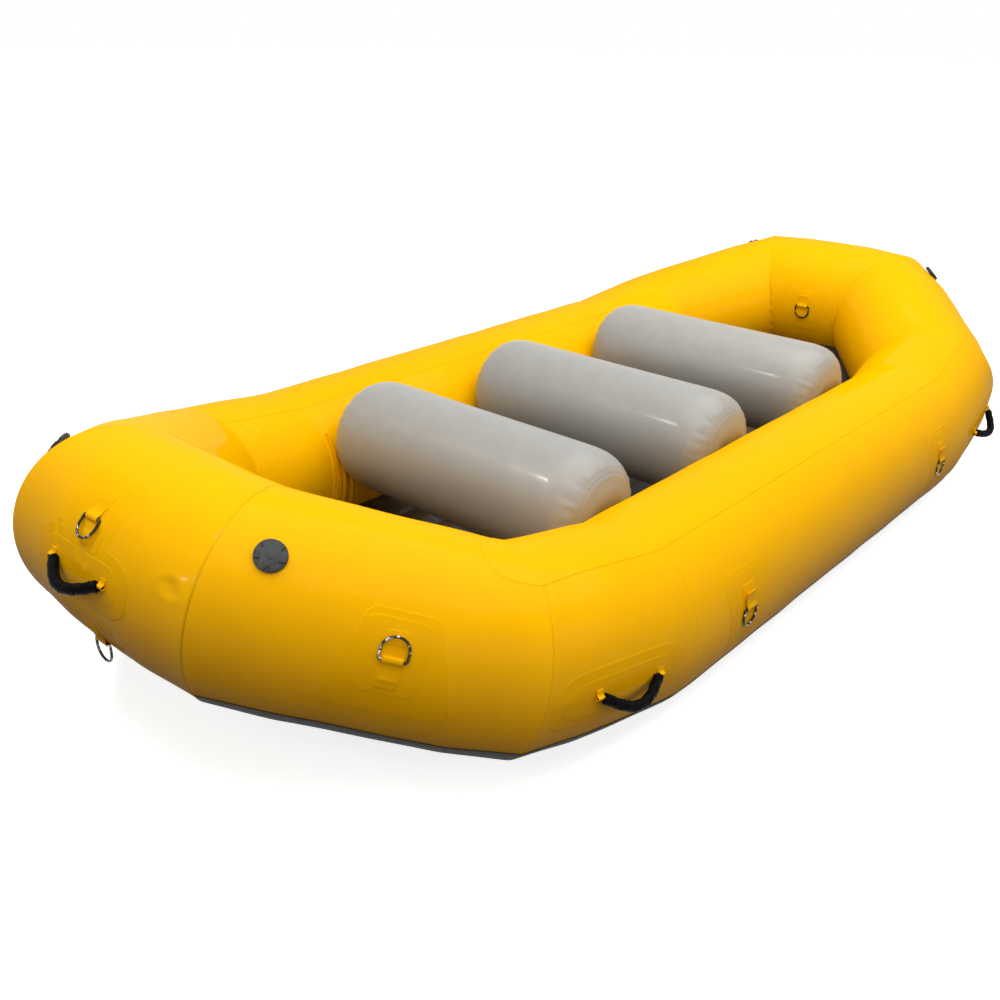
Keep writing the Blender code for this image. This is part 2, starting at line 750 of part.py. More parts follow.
def make_anchor(name, index, distance, angle, folded_up, parts, cutters, material):
    """A welded patch with the webbing loop that holds a ring."""
    frame = facet_frame(index, distance, angle)
    reach = PATCH_HEIGHT / TUBE_RADIUS
    angles = facet_angles(angle - reach, angle + reach)
    inner = TUBE_RADIUS + CLEARANCE
    straight = [bend_end(index), bend_start(index + 1)]
    patch = tube_strip(name, straight, angles, inner, inner + PATCH_WALL, parts, material)
    edge = box("edge", (-PATCH_WIDTH / 2, -PATCH_HEIGHT / 2, -OVERRUN),
               (PATCH_WIDTH / 2, PATCH_HEIGHT / 2, OVERRUN), frame, cutters)
    combined(patch, [edge], "INTERSECT")
    side = downward_side(frame) * (-1 if folded_up else 1)
    outer = LOOP_OUTER_RADIUS
    stem_top = 2 * LOOP_WALL
    outline = [(-LOOP_STEM_LENGTH, stem_top), (-LOOP_STEM_LENGTH, 0)]
    for number in range(LOOP_ROUND_STEPS + 1):
        turn = 3 * math.pi / 2 * number / LOOP_ROUND_STEPS - math.pi / 2
        outline.append((outer * math.cos(turn), outer + outer * math.sin(turn)))
    outline.append((-outer - LOOP_WALL, stem_top))
    bore = outer - LOOP_WALL
    hole = [(bore * math.cos(math.tau * number / LOOP_ROUND_STEPS),
             outer + bore * math.sin(math.tau * number / LOOP_ROUND_STEPS)) for number in range(LOOP_ROUND_STEPS)]
    splines = [([(y, z, 0) for y, z in points], [1] * len(points), True) for points in (outline, hole)]
    upright = Matrix(((0, 0, side, 0), (side, 0, 0, 0), (0, 1, 0, STEM_BOTTOM), (0, 0, 0, 1)))
    loop = curve_solid("loop", splines, frame @ upright, cutters, dimensions="2D", fill_mode="BOTH",
                       extrude=LOOP_WIDTH / 2)
    combined(patch, [loop], "UNION")
    seated(patch, frame)


def make_rings(parts, cutters, patch_material, steel):
    for place, index, distance, angle, folded_up in ring_places():
        make_anchor(f"d_ring_anchor_{place}", index, distance, angle, folded_up, parts, cutters, patch_material)
        frame = facet_frame(index, distance, angle)
        make_ring(f"d_ring_{place}", ring_frame(frame, folded_up), parts, steel)


# Grab handles

HANDLE_STANDOFF = HANDLE_END_RADIUS + CLEARANCE


def handle_places():
    """Each handle's name, panel, distance along it and angle round the tube."""
    middle = panel_length(0) / 2
    places = [("bow", 0, middle, END_HANDLE_ANGLE), ("stern", 6, middle, END_HANDLE_ANGLE)]
    for name, index in (("bow_port", 2), ("stern_port", 4), ("stern_starboard", 8), ("bow_starboard", 10)):
        distance = from_raft_end(index, SHOULDER_HANDLE_FROM_CORNER)
        places.append((name, index, distance, SHOULDER_HANDLE_ANGLE))
    return places


def handle_frame(index, distance, angle):
    frame = facet_frame(index, distance, angle)
    return swing_frame(frame, HANDLE_STANDOFF, hanging_angle(frame, HANDLE_REST_ANGLE))


def make_handles(parts, material):
    """Sagging grips whose rolled webbing ends lie on the hinge."""
    half = HANDLE_SPAN / 2
    end = half + HANDLE_END_LENGTH
    points = [(-end, 0, 0)]
    radii = [HANDLE_END_RADIUS]
    for number in range(HANDLE_STEPS + 1):
        share = number / HANDLE_STEPS
        belly = math.sin(math.pi * share)
        points.append((half * (2 * share - 1), HANDLE_SAG * belly, 0))
        radii.append(HANDLE_END_RADIUS + (HANDLE_GRIP_RADIUS - HANDLE_END_RADIUS) * min(1, 2 * belly))
    points.append((end, 0, 0))
    radii.append(HANDLE_END_RADIUS)
    for name, index, distance, angle in handle_places():
        frame = handle_frame(index, distance, angle)
        handle = curve_solid(f"grab_handle_{name}", [(points, radii, False)], frame, parts, material,
                             bevel_depth=1, bevel_resolution=2, use_fill_caps=True)
        seated(handle, frame)


def main():
    clear_scene()
    parts = new_collection("whitewater_raft")
    cutters = new_collection("cutters")
    yellow = painted("yellow_tube_fabric", (0.95, 0.60, 0.01), 0.30)
    grey = painted("grey_thwart_fabric", (0.45, 0.45, 0.43), 0.40)
    dark = painted("dark_floor_fabric", (0.06, 0.06, 0.065), 0.55)
    cap_grey = painted("valve_plastic", (0.10, 0.11, 0.11), 0.45)
    steel = painted("ring_steel", (0.75, 0.75, 0.75), 0.20, 1.0)
    black = painted("handle_rubber", (0.01, 0.01, 0.01), 0.60)
    make_panels(parts, cutters, yellow)
    make_baffles(parts, yellow)
    make_chafe_strips(parts, dark)
    make_thwarts(parts, cutters, grey, cap_grey)
    make_floor(parts, cutters, dark, cap_grey)
    make_valves(parts, cutters, cap_grey, cap_grey)
    make_rings(parts, cutters, yellow, steel)
    make_handles(parts, black)
    for thing in parts.objects:
        thing.data.shade_smooth()
        thing.data.set_sharp_from_angle(angle=SMOOTH_BELOW)


main()
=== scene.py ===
"""The visible pieces of a whitewater raft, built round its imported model.

Metres, +Z up, +X towards the bow, +Y to port. The ring of tube panels is described by a place
along its axis, an angle round it (0 outwards, a quarter turn up) and a height off its skin.
"""

import json
import logging
import math
from collections.abc import Callable, Iterator, Sequence
from contextlib import contextmanager
from dataclasses import dataclass
from enum import Enum
from functools import cache

import bmesh
import bpy
import numpy as np
from mathutils import Matrix, Vector


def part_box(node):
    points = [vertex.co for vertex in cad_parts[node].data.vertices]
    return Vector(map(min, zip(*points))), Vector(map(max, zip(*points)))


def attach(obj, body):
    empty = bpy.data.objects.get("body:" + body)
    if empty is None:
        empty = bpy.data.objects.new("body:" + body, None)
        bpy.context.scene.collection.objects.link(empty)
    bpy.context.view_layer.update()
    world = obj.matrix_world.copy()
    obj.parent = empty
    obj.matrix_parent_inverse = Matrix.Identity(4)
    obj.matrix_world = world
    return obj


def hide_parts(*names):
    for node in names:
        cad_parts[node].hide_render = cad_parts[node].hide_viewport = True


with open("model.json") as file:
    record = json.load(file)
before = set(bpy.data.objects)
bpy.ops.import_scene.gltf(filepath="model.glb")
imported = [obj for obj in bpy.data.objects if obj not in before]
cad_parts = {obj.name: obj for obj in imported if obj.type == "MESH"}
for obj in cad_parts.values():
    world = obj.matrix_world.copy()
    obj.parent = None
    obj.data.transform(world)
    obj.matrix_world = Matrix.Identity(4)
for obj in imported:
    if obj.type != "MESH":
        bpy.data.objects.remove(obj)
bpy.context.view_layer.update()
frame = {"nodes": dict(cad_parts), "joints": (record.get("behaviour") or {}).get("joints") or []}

LOG = logging.getLogger("raft")
BODY = "raft_body"
# How dark seams and sheet edges are painted: partly painted shade in each seam's step, partly seam
# dirt.
SEAM_SHADE_AND_DIRT = "seam"

Array = np.ndarray
Color = tuple[float, float, float]
Piece = bpy.types.Object
Point = tuple[float, float, float]
Socket = bpy.types.NodeSocket
Spot = tuple[float, float]


class Slot(Enum):
    """The record's material slots."""

    TUBE = "tube_fabric"
    PATCH = "patch_fabric"
    THWART = "thwart_fabric"
    FLOOR = "floor_fabric"
    CHAFE = "chafe_fabric"
    VALVE = "valve_plastic"
    STEEL = "ring_steel"
    HANDLE = "handle_rubber"


# Bench work

def select_only(*pieces: Piece) -> None:
    """Selects some pieces and nothing else, the first of them active."""
    bpy.ops.object.select_all(action="DESELECT")
    for piece in pieces:
        piece.select_set(True)
    bpy.context.view_layer.objects.active = pieces[0]


def named(piece: Piece, name: str) -> Piece:
    """Gives a piece and its mesh their name."""
    piece.name = piece.data.name = name
    return piece


def add_primitive(operator: Callable, name: str, **sizes: object) -> Piece:
    """Adds one of Blender's primitives by its operator and the operator's own sizes."""
    operator(**sizes)
    return named(bpy.context.object, name)


def add_grid(name: str, columns: int, rows: int) -> Piece:
    """Adds a flat grid from -1 to 1 both ways."""
    return add_primitive(bpy.ops.mesh.primitive_grid_add, name, x_subdivisions=columns,
                         y_subdivisions=rows, size=2)


@contextmanager
def editing(piece: Piece, mode: str) -> Iterator[bmesh.types.BMesh]:
    """Opens a piece in edit mode with nothing selected.

    Args:
        piece: The piece to edit.
        mode: The kind of element that the operators act on.

    Returns:
        The piece's mesh in edit mode.
    """
    select_only(piece)
    bpy.ops.object.mode_set(mode="EDIT")
    bpy.ops.mesh.select_mode(type=mode)
    bpy.ops.mesh.select_all(action="DESELECT")
    yield bmesh.from_edit_mesh(piece.data)
    bpy.ops.object.mode_set(mode="OBJECT")


def roll_tube(name: str, around: int, rows: int, ends: str = "NGON") -> Piece:
    """Rolls a tube of radius 1 that runs from -1 to 1 along z.

    Args:
        name: The tube's name.
        around: How many points a row has.
        rows: How many rows of points lie along it.
        ends: How its ends are filled.

    Returns:
        The tube.
    """
    piece = add_primitive(bpy.ops.mesh.primitive_cylinder_add, name, vertices=around, radius=1,
                          depth=2, end_fill_type=ends)
    with editing(piece, "EDGE") as mesh:
        for edge in mesh.edges:
            edge.select_set(abs(edge.verts[0].co.z - edge.verts[1].co.z) > 1)
        bpy.ops.mesh.subdivide(number_cuts=rows - 2)
    return piece


def finish_with(piece: Piece, kind: str, **values: object) -> None:
    """Adds a modifier to a piece and applies it.

    Args:
        piece: The piece.
        kind: The modifier's type.
        values: The modifier's settings.
    """
    select_only(piece)
    modifier = piece.modifiers.new(kind.lower(), kind)
    for key, value in values.items():
        setattr(modifier, key, value)
    bpy.ops.object.modifier_apply(modifier=modifier.name)


def round_edges(piece: Piece, width: float, segments: int = 2, degrees: float = 60) -> None:
    """Rounds the edges of a piece that are sharper than an angle."""
    finish_with(piece, "BEVEL", width=width, segments=segments, limit_method="ANGLE",
                angle_limit=math.radians(degrees))


def smooth(piece: Piece, degrees: float = 35) -> None:
    """Shades a piece smooth, but for its sharp edges."""
    select_only(piece)
    bpy.ops.object.shade_smooth_by_angle(angle=math.radians(degrees))


def coordinates(piece: Piece) -> Array:
    """A piece's points, one row each."""
    flat = np.empty(len(piece.data.vertices) * 3, np.float32)
    piece.data.vertices.foreach_get("co", flat)
    return flat.reshape(-1, 3).astype(float)


def reshape(piece: Piece, place: Callable[[Array], Array]) -> None:
    """Moves a piece's points, as by sculpting, to where a function places them."""
    moved = np.asarray(place(coordinates(piece)), np.float32)
    piece.data.vertices.foreach_set("co", moved.ravel())
    piece.data.update()


def paint_seam_shade_and_dirt(piece: Piece, values: Array) -> None:
    """Stores the painted shade and dirt along a piece's seams, how dark each point is, for its
    material.
    """
    attribute = piece.data.attributes.new(SEAM_SHADE_AND_DIRT, "FLOAT", "POINT")
    attribute.data.foreach_set("value", np.asarray(values, np.float32))


def face_outwards(piece: Piece) -> None:
    """Turns the faces of a closed piece outwards."""
    with editing(piece, "FACE"):
        bpy.ops.mesh.select_all(action="SELECT")
        bpy.ops.mesh.normals_make_consistent(inside=False)


def joined(pieces: Sequence[Piece], name: str) -> Piece:
    """Joins several pieces into the first of them, and gives it a name."""
    select_only(*pieces)
    bpy.ops.object.join()
    return named(pieces[0], name)


def paint(piece: Piece, material: bpy.types.Material) -> None:
    """Gives a piece its only material."""
    piece.data.materials.clear()
    piece.data.materials.append(material)


def fit(piece: Piece, material: bpy.types.Material, body: str = BODY,
        replaced: Sequence[str] = ()) -> None:
    """Dresses a finished piece and puts it on its body.

    Args:
        piece: The finished piece, with its place in its mesh.
        material: The piece's material.
        body: The body that it moves with.
        replaced: The model's nodes that it stands for.
    """
    paint(piece, material)
    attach(piece, body)
    if replaced:
        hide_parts(*replaced)
    LOG.info("%s: %d faces on %s", piece.name, len(piece.data.polygons), body)


# Node groups and materials

class NodeDesk:
    """Lays out nodes in a tree and wires them."""

    def __init__(self, tree: bpy.types.NodeTree) -> None:
        """Takes the tree to work in."""
        self.tree = tree

    def wire(self, node: bpy.types.Node, **sockets: object) -> None:
        """Sets a node's inputs, or links them to the output sockets given.

        Args:
            node: The node.
            sockets: Values by input, with its spaces as underscores or as s and its number.
        """
        for key, value in sockets.items():
            index = int(key[1:]) if key[1:].isdigit() else key.replace("_", " ")
            if isinstance(value, Socket):
                self.tree.links.new(value, node.inputs[index])
            else:
                node.inputs[index].default_value = value

    def add(self, kind: str, settings: dict | None = None, **sockets: object) -> bpy.types.Node:
        """Adds a node.

        Args:
            kind: The node's type, without its prefix.
            settings: The node's own settings.
            sockets: Its inputs, as wire takes them.

        Returns:
            The node.
        """
        node = self.tree.nodes.new(f"ShaderNode{kind}")
        for key, value in (settings or {}).items():
            setattr(node, key, value)
        self.wire(node, **sockets)
        return node

    def place(self) -> Socket:
        """Where each point lies, in the object's own space."""
        return self.add("TexCoord").outputs["Object"]

    def noise(self, place: Socket, scale: object, detail: float, roughness: float = 0.5) -> Socket:
        """Clouds of a scale, with finer clouds within them."""
        return self.add("TexNoise", Vector=place, Scale=scale, Detail=detail,
                        Roughness=roughness).outputs["Fac"]

    def ramp(self, value: Socket, low: float, high: float, start: float = 0.0,
             end: float = 1.0) -> Socket:
        """Maps a stretch of values onto another, clamped."""
        return self.add("MapRange", Value=value, From_Min=low, From_Max=high, To_Min=start,
                        To_Max=end).outputs[0]

    def mix(self, share: object, first: object, second: object) -> Socket:
        """Mixes two colours by a share."""
        pair = [(*color, 1) if isinstance(color, tuple) else color for color in (first, second)]
        return self.add("Mix", {"data_type": "RGBA"}, s0=share, s6=pair[0], s7=pair[1]).outputs[2]

    def math(self, operation: str, first: object, second: object) -> Socket:
        """Combines two values."""
        return self.add("Math", {"operation": operation}, s0=first, s1=second).outputs[0]

    def plus(self, base: object, value: Socket, scale: float) -> Socket:
        """Adds a value to a base, scaled."""
        return self.math("ADD", base, self.math("MULTIPLY", value, scale))

    def emboss(self, shader: bpy.types.Node, strength: float, distance: float,
               height: Socket) -> None:
        """Gives a shader the relief of a pattern."""
        bump = self.add("Bump", Strength=strength, Distance=distance, Height=height)
        self.wire(shader, Normal=bump.outputs[0])


def new_group(name: str, inputs: dict[str, float | None], outputs: Sequence[str]) -> tuple:
    """Makes an empty shader node group.

    Args:
        name: The group's name.
        inputs: Each input's first value, or None for a vector.
        outputs: The names of its outputs, all of them values.

    Returns:
        The group, its desk, the outputs of its input node, and its output node.
    """
    group = bpy.data.node_groups.new(name, "ShaderNodeTree")
    for label, value in inputs.items():
        kind = "NodeSocketVector" if value is None else "NodeSocketFloat"
        socket = group.interface.new_socket(label, in_out="INPUT", socket_type=kind)
        if value is not None:
            socket.default_value = value
    for label in outputs:
        group.interface.new_socket(label, in_out="OUTPUT", socket_type="NodeSocketFloat")
    entry = group.nodes.new("NodeGroupInput")
    return group, NodeDesk(group), entry.outputs, group.nodes.new("NodeGroupOutput")


@cache
def coated_grain() -> bpy.types.NodeTree:
    """The faint grain of a coated fabric: its buried weave and the ripple of its coat.

    Returns:
        The node group, made once.
    """
    group, desk, entry, result = new_group(
        "coated_grain", {"Vector": None, "Threads": 900.0, "Ripple": 14.0}, ("Height", "Cloud"))
    weave = desk.add("TexBrick", {"offset": 0.5}, Vector=entry[0], Scale=entry[1],
                     Mortar_Size=0.06, Mortar_Smooth=0.9, Brick_Width=0.5, Row_Height=0.25)
    ripple = desk.noise(entry[0], entry[2], 3.0, 0.45)
    height = desk.plus(ripple, weave.outputs["Fac"], -0.05)
    height = desk.plus(height, desk.noise(entry[0], 180.0, 2.0), 0.03)
    desk.wire(result, Height=height, Cloud=ripple)
    return group


@cache
def river_dust() -> bpy.types.NodeTree:
    """Dry dust and scuffs: a mask that gathers low down and in clouds.

    Returns:
        The node group, made once.
    """
    group, desk, entry, result = new_group(
        "river_dust", {"Vector": None, "Amount": 0.3, "Reach": 0.35}, ("Mask", "Scuff"))
    height = desk.add("SeparateXYZ", Vector=entry[0]).outputs[2]
    low = desk.math("SUBTRACT", 1.0, desk.math("DIVIDE", height, entry[2]))
    cloud = desk.ramp(desk.noise(entry[0], 3.5, 5.0, 0.6), 0.42, 0.75)
    mask = desk.math("MULTIPLY", desk.plus(cloud, desk.ramp(low, 0.0, 1.0), 0.6), entry[1])
    streaks = desk.add("Mapping", Vector=entry[0], Scale=(9.0, 60.0, 60.0)).outputs[0]
    scuff = desk.ramp(desk.noise(streaks, 1.0, 4.0, 0.7), 0.66, 0.74)
    desk.wire(result, Mask=mask, Scuff=scuff)
    return group


def new_material(name: str) -> tuple[bpy.types.Material, NodeDesk, bpy.types.Node]:
    """A material with its desk and its Principled shader."""
    material = bpy.data.materials.new(name)
    material.use_nodes = True
    tree = material.node_tree
    return material, NodeDesk(tree), tree.nodes["Principled BSDF"]


@dataclass(frozen=True)
class CoatedFabric:
    """A coated, welded fabric with its gloss, grain, dust, and seams darkened by painted shade and
    dirt.
    """

    name: str
    color: Color
    shade: Color
    dust: Color
    # The colour of the seams' painted shade and dirt.
    seam: Color
    roughness: float = 0.30
    coat: float = 0.25
    coat_roughness: float = 0.12
    dust_amount: float = 0.06
    ripple: float = 14.0
    bump: float = 0.12
    sheen: Color = (1.0, 1.0, 1.0)
    base_gloss: float = 0.5

    def build(self) -> bpy.types.Material:
        """Makes the finish.

        Returns:
            The material.
        """
        material, desk, shader = new_material(self.name)
        place = desk.place()
        grain = desk.add("Group", {"node_tree": coated_grain()}, Vector=place,
                         Ripple=self.ripple).outputs
        dust = desk.add("Group", {"node_tree": river_dust()}, Vector=place,
                        Amount=self.dust_amount).outputs
        # Painted shade and dirt along seams and sheet edges, read from each point.
        seam = desk.add("Attribute", {"attribute_name": SEAM_SHADE_AND_DIRT}).outputs["Fac"]
        cloud = desk.ramp(grain["Cloud"], 0.35, 0.75)
        color = desk.mix(cloud, self.color, self.shade)
        color = desk.mix(dust["Mask"], color, self.dust)
        color = desk.mix(desk.math("MULTIPLY", dust["Scuff"], 0.10), color, self.dust)
        rough = desk.plus(desk.plus(self.roughness, dust["Mask"], 0.5), cloud, 0.06)
        desk.emboss(shader, self.bump, 0.01, grain["Height"])
        desk.wire(shader, Base_Color=desk.mix(seam, color, self.seam), Roughness=rough,
                  Coat_Weight=self.coat, Coat_Roughness=self.coat_roughness,
                  Specular_Tint=(*self.sheen, 1), Specular_IOR_Level=self.base_gloss)
        return material


@dataclass(frozen=True)
class MouldedPlastic:
    """A moulded plastic or rubber with a fine spark-eroded grain."""

    name: str
    color: Color
    worn: Color
    roughness: float = 0.45
    grain: float = 700.0
    bump: float = 0.15
    gloss: float = 0.5

    def build(self) -> bpy.types.Material:
        """Makes the finish.

        Returns:
            The material.
        """
        material, desk, shader = new_material(self.name)
        place = desk.place()
        patchy = desk.ramp(desk.noise(place, 60.0, 4.0, 0.6), 0.45, 0.70)
        desk.emboss(shader, self.bump, 0.0006, desk.noise(place, self.grain, 2.0))
        desk.wire(shader, Specular_IOR_Level=self.gloss,
                  Base_Color=desk.mix(desk.math("MULTIPLY", patchy, 0.6), self.color, self.worn),
                  Roughness=desk.plus(self.roughness, patchy, 0.12))
        return material


@dataclass(frozen=True)
class BrushedSteel:
    """Steel wire, near black as tarnish and painted dark reflection, its bright worn spots also
    painted glints.
    """

    name: str = "ring_steel"
    color: Color = (0.72, 0.69, 0.62)
    tarnish_and_dark_reflection: Color = (0.030, 0.027, 0.022)
    roughness: float = 0.13

    def build(self) -> bpy.types.Material:
        """Makes the finish.

        Returns:
            The material.
        """
        material, desk, shader = new_material(self.name)
        place = desk.place()
        # Bright worn spots that are also painted glints, on near-black steel that is also a painted
        # dark reflection.
        patchy = desk.ramp(desk.noise(place, 85.0, 2.0), 0.56, 0.70, 1.0, 0.0)
        desk.emboss(shader, 0.08, 0.0003, desk.noise(place, 900.0, 2.0))
        desk.wire(shader, Base_Color=desk.mix(patchy, self.color, self.tarnish_and_dark_reflection),
                  Roughness=desk.plus(self.roughness, patchy, 0.2), Metallic=1.0)
        return material


class Wardrobe:
    """The raft's materials, made once."""

    def __init__(self) -> None:
        """Makes every material."""
        gold = (1.0, 0.70, 0.03)
        sand, mud, black = (0.66, 0.36, 0.03), (0.10, 0.09, 0.07), (0.005, 0.005, 0.005)
        # Each fabric's fourth colour is the colour of its seams' painted shade and dirt.
        self.tube = CoatedFabric(
            "yellow_tube_fabric", (1.0, 0.505, 0.0), (0.985, 0.491, 0.0), sand, (0.30, 0.12, 0.0),
            coat=0.075, coat_roughness=0.055, dust_amount=0.03, sheen=gold, base_gloss=0.0).build()
        self.patch = CoatedFabric(
            "yellow_patch_fabric", (0.985, 0.495, 0.0), (0.97, 0.481, 0.0), sand,
            (0.26, 0.10, 0.0), roughness=0.34, coat=0.06, coat_roughness=0.14, dust_amount=0.03,
            sheen=gold, base_gloss=0.0).build()
        self.thwart = CoatedFabric(
            "grey_thwart_fabric", (0.345, 0.344, 0.326), (0.324, 0.322, 0.303),
            (0.34, 0.30, 0.23), mud, roughness=0.34, coat=0.17).build()
        self.floor = CoatedFabric(
            "dark_floor_fabric", (0.010, 0.010, 0.010), (0.018, 0.018, 0.017), mud, black,
            roughness=0.34, coat=0.30, dust_amount=0.012, ripple=22.0, bump=0.8).build()
        self.chafe = CoatedFabric(
            "dark_chafe_fabric", (0.016, 0.017, 0.018), (0.024, 0.024, 0.024), mud, black,
            roughness=0.60, coat=0.0, dust_amount=0.05, ripple=30.0, bump=0.3,
            base_gloss=0.12).build()
        self.valve = MouldedPlastic("grey_valve_plastic", (0.016, 0.018, 0.018),
                                    (0.034, 0.037, 0.036), roughness=0.26, gloss=0.34).build()
        self.steel = BrushedSteel().build()
        self.rubber = MouldedPlastic(
            "black_grip_rubber", (0.003, 0.003, 0.0035), (0.008, 0.008, 0.008), roughness=0.36,
            grain=350.0, bump=0.5, gloss=0.02).build()


# Shapes of curves and rows

def bell(off: Array, width: float) -> Array:
    """A bell curve: 1 at zero, falling away over a width."""
    return np.exp(-(off / width) ** 2)


def ease_from_seam(share: Array) -> Array:
    """How far the tube still follows its seam, by share of the bend: 1 at the seam, then less."""
    left = np.clip(1 - share, 0, 1)
    return left ** 2 * (1 + share + 2 * share ** 2)


def off_round(value: Array, middle: float, whole: float) -> Array:
    """How far values lie from a middle, the shorter way round a closed whole."""
    return np.mod(value - middle + whole / 2, whole) - whole / 2


def at_rows(rows: Array, across: Array) -> Array:
    """The row that each point belongs to, for points at even steps from -1 to 1."""
    return rows[np.rint((across + 1) / 2 * (len(rows) - 1)).astype(int)]


def unit(vectors: Array) -> Array:
    """Vectors at a length of 1, one row each."""
    return vectors / np.linalg.norm(vectors, axis=1)[:, None]


def lengths_along(path: Array) -> Array:
    """How far along a path each of its points lies."""
    steps = np.linalg.norm(np.diff(path, axis=0), axis=1)
    return np.concatenate(([0.0], np.cumsum(steps)))


def on_path(path: Array, lengths: Array, run: Array) -> Array:
    """What a flat path has at some lengths along it, one row each."""
    return np.stack([np.interp(run, lengths, path[:, i]) for i in (0, 1)], axis=1)


def lipped_rows(low: float, high: float, lip: Sequence[float], step: float) -> Array:
    """Places from low to high, close together at both ends and a step apart between them.

    Args:
        low: The first place.
        high: The last place.
        lip: How far the closer places lie from each end, beginning with zero.
        step: The length of a step.

    Returns:
        The places, in order.
    """
    first = low + np.array(lip)
    last = (high - np.array(lip))[::-1]
    count = max(1, round((last[0] - first[-1]) / step))
    return np.concatenate((first, np.linspace(first[-1], last[0], count + 1)[1:-1], last))


def frame_of(along: Vector, upward: Vector, outward: Vector, place: Vector) -> Matrix:
    """A frame from its three directions and its place."""
    return Matrix([*zip(along, upward, outward, place), (0, 0, 0, 1)])


def placed(matrix: Matrix, points: Array) -> Array:
    """Points of a frame, in the raft's own frame."""
    return points @ np.array(matrix.to_3x3()).T + np.array(matrix.translation)


def downward_side(at: Matrix) -> int:
    """Which way round the tube is down at a frame: 1 along its y axis, or -1 against it."""
    return -1 if at.col[1].z > 0 else 1


def hanging_angle(at: Matrix, least: float) -> float:
    """The angle from the skin at which a piece hangs free, but no less than least."""
    down = at.col[1].to_3d() * downward_side(at)
    return max(math.atan2(-at.col[2].z, -down.z), least)


def swing_frame(at: Matrix, standoff: float, angle: float) -> Matrix:
    """The frame of a swinging piece: x on its hinge, y as it hangs, standing off the skin."""
    side = downward_side(at)
    return (at @ Matrix.Translation((0, 0, standoff)) @ Matrix.Rotation(angle * side, 4, "X")
            @ Matrix.Diagonal((side, side, 1, 1)))


def flattened(points: Array, least: float) -> Array:
    """Points with none lower than least, as air pressure flattens a tube on the ground."""
    return np.stack([points[:, 0], points[:, 1], np.maximum(points[:, 2], least)], axis=1)


def mirrored_corners(width: float, height: float, top: float | None = None,
                     rise: float = 0.0) -> list[Spot]:
    """The corners of a sheet that is as wide at its top as top says, its middle up by a rise."""
    halves = (-width / 2, width / 2), [way * (width if top is None else top) / 2 for way in (-1, 1)]
    return [(x, y + rise) for y, row in zip((-height / 2, height / 2), halves) for x in row]


# The ring's geometry

@dataclass(frozen=True)
class Fold:
    """A fold in the skin, from one place to another.

    Places are lengths along the ring in metres and angles round the tube in degrees.
    """

    start: Spot
    end: Spot
    width: float
    depth: float
    rim: float = 0.35
    rim_share: float = 1.9
    rim_width_share: float = 0.8

    def height(self, place: Array, angle: Array, radius: float) -> Array:
        """How far the fold moves the skin.

        Args:
            place: Each point's place along the ring.
            angle: Its angle round the tube.
            radius: The tube's radius.

        Returns:
            The heights, less than zero in the fold and more along its rim.
        """
        from_angle = math.radians(self.start[1])
        first = np.array((self.start[0], from_angle * radius))
        run = np.array((self.end[0], math.radians(self.end[1]) * radius)) - first
        off = np.stack((place - first[0], off_round(angle, from_angle, math.tau) * radius))
        share = np.clip(np.einsum("i...,i->...", off, run) / float(run @ run), 0, 1)
        away = np.hypot(off[0] - share * run[0], off[1] - share * run[1]) / self.width
        rim = self.rim * bell(away - self.rim_share, self.rim_width_share)
        return self.depth * (rim - bell(away, 1.0))


